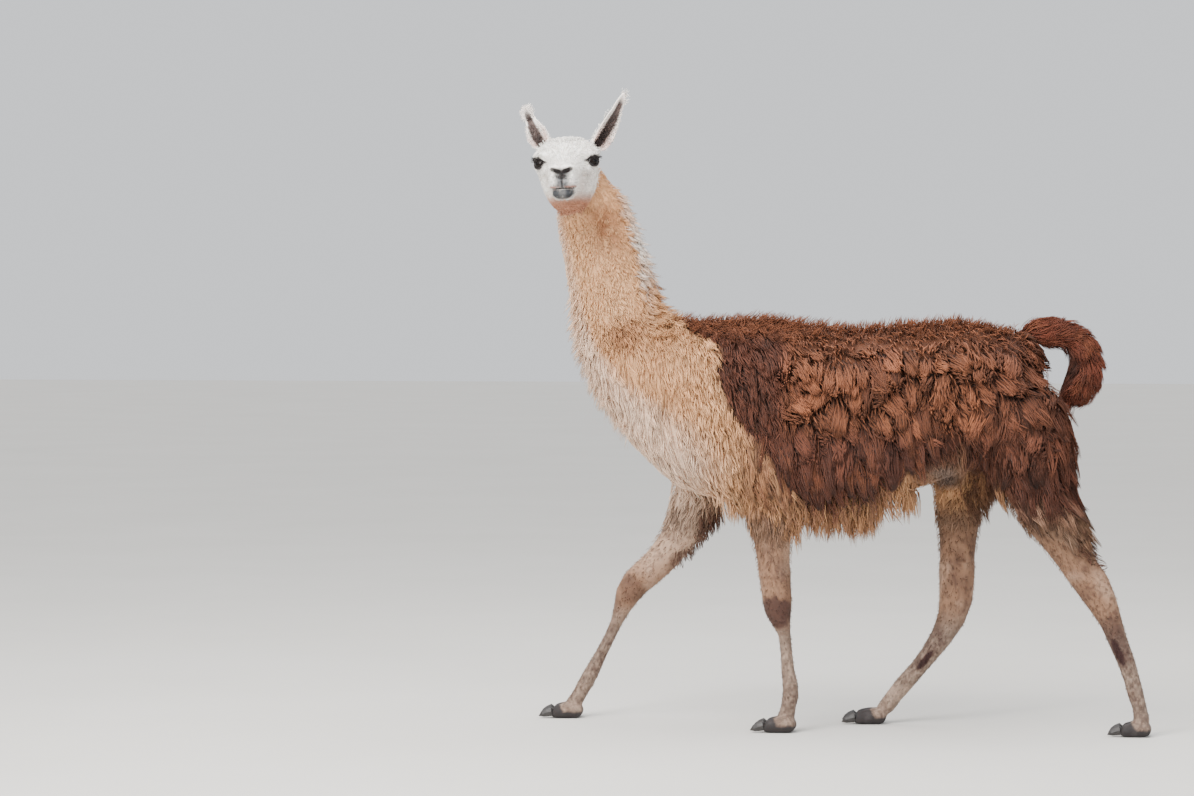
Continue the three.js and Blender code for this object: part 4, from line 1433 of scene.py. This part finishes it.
def grows_face(p, facing, group):
    h = head_points(p)
    x, z = h[:, 0], h[:, 2]
    bare = smooth(-blob(both_sides(h), np.array(NOSTRIL["at"], float), (17, 17, 11)), -5, 0)
    bare = np.maximum(bare, smooth(x, 150, 172) * smooth(-z, 66, 74))
    bare = np.maximum(bare, smooth(x, 126, 140) * bump(z, MOUTH["z"], 9))
    for side in (1, -1):
        r, _, b, depth = eye_angles(h, side)
        near = (r < 40) & (depth > 0)
        bare = np.maximum(bare, near * smooth(-lids(h, side) - 0.12 * (b > 0), -0.3, -0.12))
    return is_part(group, "head", "neck") * (1 - on_neck(p, group)) * (1 - bare)


def grows_brows(p, facing, group):
    """Longer tufts over the eyes and on the crown."""
    h = head_points(p)
    mirrored = both_sides(h)
    brow = smooth(-blob(mirrored, (10, 59, 25), (27, 18, 11)), -4, 1)
    for side in (1, -1):
        r, a, _, depth = eye_angles(h, side)
        brow = brow * (1 - (r < 40) * (depth > 0) * smooth(-lids(h, side), -0.08, -0.03))
        brow = brow * (1 - (r < 45) * (depth > 0) * smooth(a, 0.2, 0.6))
    crown = smooth(-blob(mirrored, (-40, 0, 72), (48, 50, 28)), -3, 4)
    return is_part(group, "head") * np.maximum(brow * 2.2, crown)


def grows_lashes(p, facing, group):
    """Along the upper lids' edges."""
    h = head_points(p)
    there = np.zeros(len(p))
    for side in (1, -1):
        r, a, b, depth = eye_angles(h, side)
        edge = lids(h, side)
        upper = (r < 34) * (depth > 0) * (b > 0.2) * (edge > 0) * (np.abs(a) < 0.7)
        there = np.maximum(there, upper * smooth(-edge, -0.12, -0.04))
    return there * is_part(group, "head")


def lash_tint(colour, p, s):
    return 0 * colour + NOSE


def face_length(p, group):
    """Velvet on the muzzle, longer hair on cheeks and forehead."""
    return mix(1.0, 0.5, smooth(head_points(p)[:, 0], 100, 160))


def ear_rise(p, name):
    """How far up an ear points lie, as a share of its length."""
    ear = EARS[name]
    return ((head_points(p) - ear["at"]) @ ear_turn(ear))[:, 2] / EAR["length"]


def ear_length(p, group):
    """Long tufts at the ears' tips."""
    tip = sum(is_part(group, name) * smooth(ear_rise(p, name), 0.72, 0.98) for name in EARS)
    return 1 + 0.9 * tip


def grows_ears(p, facing, group):
    return is_part(group, "ear_left", "ear_right") * 1.0


def grows_ear_tips(p, facing, group):
    """The far ear ends in a round tuft, the near one in a few hairs."""
    return sum(share * is_part(group, name) * smooth(ear_rise(p, name), 0.74, 0.86)
               for name, share in (("ear_right", 1.0), ("ear_left", 0.05)))


def neck_length(p, group):
    """The neck's wool is longest low down and shortest behind the jaw."""
    return mix(1.25, 0.6, smooth(p[:, 2], 1080, 1420))


def leg_length(p, group):
    """Hair on the legs is long at the elbow and thigh, and very short above the feet."""
    return mix(0.55, 1.7, smooth(p[:, 2], 400, 590)) * mix(0.6, 1.0, smooth(p[:, 2], 60, 160))


def back_length(p, group):
    """The back's wool stands up over the withers and lies down towards the tail."""
    return mix(1.15, 0.5, smooth(p[:, 0], -200, 40))


def mat_shade(colour, p, s):
    """Mats are lightest in the middle of their length and, as painted shade under the plate above, dark where
    they come out.
    """
    light = 0.62 + 0.5 * smooth(s, 0, 0.6)
    return colour * light[None, :, None]


def strand_tint(colour, p, s):
    """The long strands are dark, with a few reddish ones among them."""
    red = smooth(noise(p, 30, 51), 0.1, 0.5)[:, None, None]
    return mix(colour, mix(DARK, RUST, red), 0.45)


BROWN_WOOL, CREAM_WOOL, HAIR, VELVET = "fleece_brown", "fleece_cream", "leg", "face"
MATS = dict(rings=4, wide=5.6, thick=0.2, clump=48, gather=0.2, stray=8, wave=0.025, shade=0.2,
            clump_shade=0.2, crack_shade=0.4, plates=True, tint=mat_shade)
COAT = [  # each piece: name, count of locks, where it grows, seed, slot and style
    ("under", 4600, grows_under, 1, BROWN_WOOL, dict(long=(34, 52), wide=4.8, high=0.92, clump=16)),
    ("saddle", 4500, grows_saddle, 2, BROWN_WOOL, dict(
        rings=4, long=(45, 85), wide=3.4, clump=20, gather=0.55, wave=0.02, stray=8, crack_shade=0.2)),
    ("mats_left", 6000, grows_mats(-1), 3, BROWN_WOOL, MATS),
    ("mats_right", 6000, grows_mats(1), 4, BROWN_WOOL, MATS),
    ("strands", 4600, grows_strands, 5, BROWN_WOOL, dict(
        rings=5, long=(95, 160), wide=3.6, clump=27, gather=0.86, wave=0.03, waves=1.5, hang=0.3,
        lift=12, stray=6, clump_stray=9, high=1.0, clump_shade=0.3, tint=strand_tint)),
    ("fringe", 2300, grows_fringe, 6, CREAM_WOOL, dict(
        rings=5, long=(56, 132), wide=3.2, clump=22, gather=0.8, wave=0.08, waves=1.7, free=1.0,
        hang=0.5, stray=20, clump_stray=24)),
    ("back", 3850, grows_back, 7, BROWN_WOOL, dict(
        long=(26, 56), wide=2.4, clump=17, gather=0.6, stray=40, clump_stray=35, lift=34, wave=0.08,
        length=back_length)),
    ("wisps", 1400, grows_wisps, 17, HAIR, dict(
        rings=4, long=(34, 92), wide=2.6, clump=17, gather=0.8, stray=12, clump_stray=16, wave=0.06,
        lift=14, high=3.0, length=wisp_length, free=0.6, hang=0.3, tint=wisp_shade)),
    ("neck", 8700, grows_neck, 8, CREAM_WOOL, dict(
        long=(15, 27), wide=2.5, clump=9, gather=0.5, stray=12, clump_stray=14, length=neck_length,
        wave=0.02, root=0.9, shade=0.1, clump_shade=0.06)),
    ("nape", 3000, grows_nape, 9, CREAM_WOOL, dict(
        long=(24, 42), wide=2.1, clump=12, gather=0.85, stray=14, clump_stray=18, lift=22,
        length=neck_length, wave=0.03, root=0.92, shade=0.08, clump_shade=0.05)),
    ("shoulder", 6600, grows_shoulder, 10, CREAM_WOOL, dict(
        rings=4, long=(36, 66), wide=2.9, clump=15, gather=0.6, stray=7, clump_stray=9, wave=0.02,
        root=0.76, shade=0.16, clump_shade=0.11)),
    ("flank", 3200, grows_flank, 16, CREAM_WOOL, dict(
        long=(14, 24), wide=2.4, clump=10, gather=0.4, stray=9, clump_stray=8, high=0.7, root=0.9,
        shade=0.1, clump_shade=0.05)),
    ("haunch", 5200, grows_haunch, 11, BROWN_WOOL, dict(
        rings=4, long=(75, 145), wide=3.4, clump=23, gather=0.86, stray=7, clump_stray=10, wave=0.04,
        waves=1.4, lift=11, clump_shade=0.25, crack_shade=0.2)),
    ("tail", 3600, grows_tail, 12, BROWN_WOOL, dict(
        rings=4, long=(42, 74), wide=2.8, clump=14, gather=0.5, stray=14, clump_stray=14, wave=0.04,
        lift=10, inner=True, sag=0.15)),
    ("legs", 5000, grows_legs, 13, HAIR, dict(
        long=(9, 16), wide=2.0, clump=7, gather=0.4, stray=12, clump_stray=12, length=leg_length,
        root=0.95, shade=0.1, clump_shade=0.05)),
    ("face", 6500, grows_face, 14, VELVET, dict(
        rings=2, long=(7, 13), wide=1.35, clump=5, high=0.55, gather=0.3, stray=11, root=0.94,
        shade=0.05, clump_shade=0.03, fine=True, length=face_length)),
    ("lashes", 130, grows_lashes, 20, VELVET, dict(
        long=(6, 9), wide=0.9, clump=4, high=1.2, gather=0.1, stray=16, lift=4, shade=0.05,
        clump_shade=0.0, fine=True, tint=lash_tint)),
    ("ears", 2200, grows_ears, 15, VELVET, dict(
        rings=2, long=(6, 12), wide=1.5, clump=5, high=0.5, gather=0.5, stray=22, lift=3, root=0.92,
        shade=0.08, clump_shade=0.04, fine=True, length=ear_length)),
    ("ear_tips", 600, grows_ear_tips, 19, VELVET, dict(
        long=(14, 26), wide=1.8, clump=6, high=0.8, gather=0.4, stray=45, clump_stray=25, lift=12,
        root=0.95, shade=0.06, clump_shade=0.04, wave=0.06, fine=True)),
    ("brows", 1400, grows_brows, 18, VELVET, dict(
        long=(12, 19), wide=1.6, clump=6, high=0.9, gather=0.35, stray=12, lift=1, root=0.97,
        shade=0.05, clump_shade=0.03, fine=True)),
]
SHORT_HAIRED = ("face", "lashes", "ears", "ear_tips", "legs")


# ------------------------------------------------------------------ materials
class Nodes:
    """A node material under construction."""

    def __init__(self, name):
        self.material = bpy.data.materials.new(name)
        self.material.use_nodes = True
        self.tree = self.material.node_tree
        self.shader = self.tree.nodes["Principled BSDF"]

    def feed(self, node, sockets):
        """Links a node's inputs to other nodes' outputs, or sets them."""
        for key, value in sockets.items():
            if isinstance(value, bpy.types.NodeSocket):
                self.tree.links.new(value, node.inputs[key])
            else:
                node.inputs[key].default_value = value

    def add(self, kind, sockets=None, **settings):
        node = self.tree.nodes.new("ShaderNode" + kind)
        for key, value in settings.items():
            setattr(node, key, value)
        self.feed(node, sockets or {})
        return node

    def where(self):
        return self.add("TexCoord").outputs["Object"]

    def shade(self, **sockets):
        self.feed(self.shader, {key.replace("_", " "): value for key, value in sockets.items()})

    def noise(self, vector, scale, detail=3):
        sockets = {"Vector": vector, "Scale": scale, "Detail": detail, "Roughness": 0.6}
        return self.add("TexNoise", sockets).outputs["Fac"]

    def span(self, value, low, high, to_low, to_high):
        sockets = {"Value": value, "From Min": low, "From Max": high, "To Min": to_low, "To Max": to_high}
        return self.add("MapRange", sockets).outputs["Result"]

    def times(self, colour, factor):
        return self.add("VectorMath", {0: colour, "Scale": factor}, operation="SCALE").outputs["Vector"]

    def bump(self, height, strength, distance):
        node = self.add("Bump", {"Strength": strength, "Distance": distance, "Height": height})
        self.shade(Normal=node.outputs["Normal"])

    def ramp(self, value, marks):
        """A colour for each value, between marks that each have a place and a colour."""
        node = self.add("ValToRGB", {"Fac": value})
        stops = node.color_ramp.elements
        while len(stops) < len(marks):
            stops.new(0.5)
        for stop, (at, colour) in zip(stops, marks):
            stop.position = at
            stop.color = (*paint(*colour), 1)
        return node.outputs["Color"]


def hair_material(name, rough):
    """Fibres along each lock, over the colour that the lock carries."""
    m = Nodes(name)
    coat = m.add("Attribute", attribute_name="Coat").outputs["Color"]
    lines = m.noise(m.add("UVMap", uv_map="Fibre").outputs["UV"], 1.5, 2)
    m.shade(Base_Color=m.times(coat, m.span(lines, 0.3, 0.7, 0.72, 1.22)),
            Roughness=m.span(lines, 0.3, 0.7, rough - 0.08, rough + 0.08),
            Specular_IOR_Level=0.15, Sheen_Weight=0.04, Sheen_Roughness=0.5)
    m.bump(lines, 0.5, 0.0006)
    return m.material


def skin_material():
    """The skin under the coat: the coat's colours, darkened under the wool as painted shade, with short hair
    as bump.
    """
    m = Nodes("skin")
    coat = m.add("Attribute", attribute_name="Coat").outputs["Color"]
    where = m.where()
    hair, blots = m.noise(where, 700), m.noise(where, 45)
    colour = m.times(coat, m.span(hair, 0.3, 0.7, 0.80, 1.16))
    m.shade(Base_Color=m.times(colour, m.span(blots, 0.3, 0.7, 0.93, 1.06)),
            Roughness=m.span(blots, 0.3, 0.7, 0.62, 0.85), Specular_IOR_Level=0.2, Sheen_Weight=0.04,
            Sheen_Roughness=0.5, Subsurface_Weight=0.05, Subsurface_Scale=0.01)
    m.bump(hair, 0.35, 0.0005)
    return m.material


def nail_material():
    """Dark horn with growth lines across it and grime in blots."""
    m = Nodes("nail")
    where = m.where()
    lines = m.add("TexWave", {"Vector": where, "Scale": 90, "Distortion": 3}, wave_type="BANDS",
                  bands_direction="Z").outputs["Fac"]
    grime = m.noise(where, 120, 4)
    colour = m.ramp(grime, ((0.3, (34, 32, 32)), (0.75, (68, 64, 63))))
    m.shade(Base_Color=m.times(colour, m.span(lines, 0, 1, 0.85, 1.1)),
            Roughness=m.span(grime, 0.3, 0.7, 0.35, 0.6))
    m.bump(lines, 0.3, 0.0006)
    return m.material


def eye_material():
    """A dark wet eye: brown iris with a wide level pupil."""
    m = Nodes("eye")
    where = m.where()
    flat = m.add("VectorMath", {0: where, 1: (60, 105, 0)}, operation="MULTIPLY").outputs[0]
    away = m.add("VectorMath", {0: flat}, operation="LENGTH").outputs["Value"]
    colour = m.ramp(away, ((0.0, (6, 5, 6)), (0.42, (8, 7, 8)), (0.52, (24, 15, 11)), (0.80, (20, 13, 10)),
                           (0.95, (10, 8, 7))))
    m.shade(Base_Color=m.times(colour, m.span(m.noise(where, 900), 0.3, 0.7, 0.7, 1.3)),
            Roughness=0.06, Specular_IOR_Level=0.3, IOR=1.36)
    return m.material


def floor_material():
    m = Nodes("studio_floor")
    colour = m.ramp(m.noise(m.where(), 1.2, 4), ((0, (205, 203, 198)), (1, (216, 214, 210))))
    m.shade(Base_Color=colour, Roughness=0.85, Specular_IOR_Level=0.2)
    return m.material


# ------------------------------------------------------------------ eyes

CORNEA = 0.05  # how far the cornea stands out, as a share of the ball's radius
CORNEA_REACH = 0.55  # how far from the eye's axis it does so, in radians


def make_eye(name, side, material):
    """A ball with a slightly bulging cornea, its local z along the eye's axis."""
    middle, out, front, _ = eye_frame(side)
    rows, columns = 40, 56
    angle = np.linspace(0, np.pi, rows + 1)[1:-1]
    round_by = np.linspace(0, 2 * np.pi, columns, endpoint=False)
    radius = EYE_RADIUS * (1 + CORNEA * np.exp(-(angle / CORNEA_REACH) ** 2))
    ring = np.stack([np.sin(angle)[:, None] * np.cos(round_by), np.sin(angle)[:, None] * np.sin(round_by),
                     np.cos(angle)[:, None] + 0 * round_by], -1) * radius[:, None, None]
    points = np.concatenate([ring.reshape(-1, 3), [(0, 0, EYE_RADIUS * (1 + CORNEA)), (0, 0, -EYE_RADIUS)]])
    faces, last = [], (rows - 2) * columns
    pairs = [(j, (j + 1) % columns) for j in range(columns)]
    for i in range(0, last, columns):
        faces += [(i + j, i + columns + j, i + columns + k, i + k) for j, k in pairs]
    for j, k in pairs:
        faces += [(j, k, len(points) - 2), (last + k, last + j, len(points) - 1)]
    mesh = bpy.data.meshes.new(name)
    mesh.from_pydata(points.tolist(), [], faces)
    mesh.shade_smooth()
    mesh.materials.append(material)
    made = add_object(name, mesh)
    axes = np.stack([front, np.cross(out, front), out], -1)
    made.matrix_world = Matrix.Translation(Vector(from_head(middle[None])[0])) @ \
        Matrix((HEAD_AXES @ axes).tolist()).to_4x4()
    return made


# ------------------------------------------------------------------ the llama

skin = make_skin()
ground = Ground(skin)
tint = coat_colour(ground.points, ground.group)
# painted shade: the skin is darker deep in the wool, where the locks shade it, and most of all where the wool
# is dark
woolly = smooth(ground.points[:, 2], 480, 620) * (1 - is_part(ground.group, "head", "ear_left", "ear_right"))
dark_wool = smooth(-tint[:, 0], -0.4, -0.2)
set_tint(skin.data, tint * (1 - (0.1 + 0.35 * dark_wool) * woolly)[:, None])
skin.data.materials.clear()
skin.data.materials.append(skin_material())
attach(skin, "root")
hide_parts(*FLESH, "ear_left", "ear_right")

wool = hair_material("wool", 0.85)
short_hair = hair_material("short_hair", 0.78)
for name, count, weight, seed, slot, style in COAT:
    piece = locks(ground, "coat_" + name, count, weight, seed, slot, **style)
    piece.data.materials.append(short_hair if name in SHORT_HAIRED else wool)

wet = eye_material()
for name, side in (("left", 1), ("right", -1)):
    ball = make_eye("eyeball_" + name, side, wet)
    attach(ball, "root")
    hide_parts("eye_" + name)

horn = nail_material()
for name in NODES:
    if "nail" in name:
        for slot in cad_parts[name].material_slots:
            slot.link = "OBJECT"
            slot.material = horn


# ------------------------------------------------------------------ studio

FLOOR_HALF = 30.0
corners = np.array([(-1, -1, 0), (1, -1, 0), (1, 1, 0), (-1, 1, 0)]) * FLOOR_HALF
floor = mesh_object("studio_floor", corners, np.array([(0, 1, 2, 3)]))
floor.data.materials.append(floor_material())

world = bpy.data.worlds.new("studio")
world.use_nodes = True
background = world.node_tree.nodes["Background"]
background.inputs["Color"].default_value = (0.86, 0.88, 0.91, 1)
background.inputs["Strength"].default_value = 1.1
bpy.context.scene.world = world

sun = bpy.data.lights.new("sky", "SUN")
sun.energy = 1.5
sun.angle = math.radians(70)
sun.color = (1, 0.97, 0.93)
add_object("sky", sun).rotation_euler = (math.radians(24), math.radians(-14), 0)

SOFTBOXES = [  # name, place, aim, side, power and colour
    ("key", (-1.6, -2.6, 4.4), (0, 0, 0.9), 2.6, 250, (1, 0.96, 0.91)),
    ("front", (-2.4, -5.0, 2.9), (-0.4, 0, 1.1), 2.4, 130, (1, 0.98, 0.95)),
    ("head", (-1.9, -3.4, 2.5), (-0.78, -0.1, 1.58), 0.9, 48, (1, 0.99, 0.97)),
    ("overhead", (0.4, 0.8, 4.6), (0, 0, 0.8), 3.5, 130, (1, 0.98, 0.95)),
    ("fill", (3.4, -4.2, 2.2), (0, 0, 0.9), 2.5, 90, (0.97, 0.98, 1)),
]
for name, at, aim, size, power, colour in SOFTBOXES:
    light = bpy.data.lights.new(name, "AREA")
    light.shape = "RECTANGLE"
    light.size = light.size_y = size
    light.energy = power
    light.color = colour
    box = add_object(name, light)
    box.location = at
    box.rotation_euler = (Vector(at) - Vector(aim)).to_track_quat("Z", "Y").to_euler()

CAMERA_AT = (0.5662, -9.9026, 1.25)
FOCAL_LENGTH, SENSOR = 110.05, 36
DOWN, TO_LEFT = 2.036, 7  # degrees by which the camera looks down and to the left
lens = bpy.data.cameras.new("camera")
lens.lens = FOCAL_LENGTH
lens.sensor_width = SENSOR
camera = add_object("camera", lens)
camera.location = CAMERA_AT
camera.rotation_euler = (math.radians(90 - DOWN), 0, math.radians(TO_LEFT))
bpy.context.scene.camera = camera
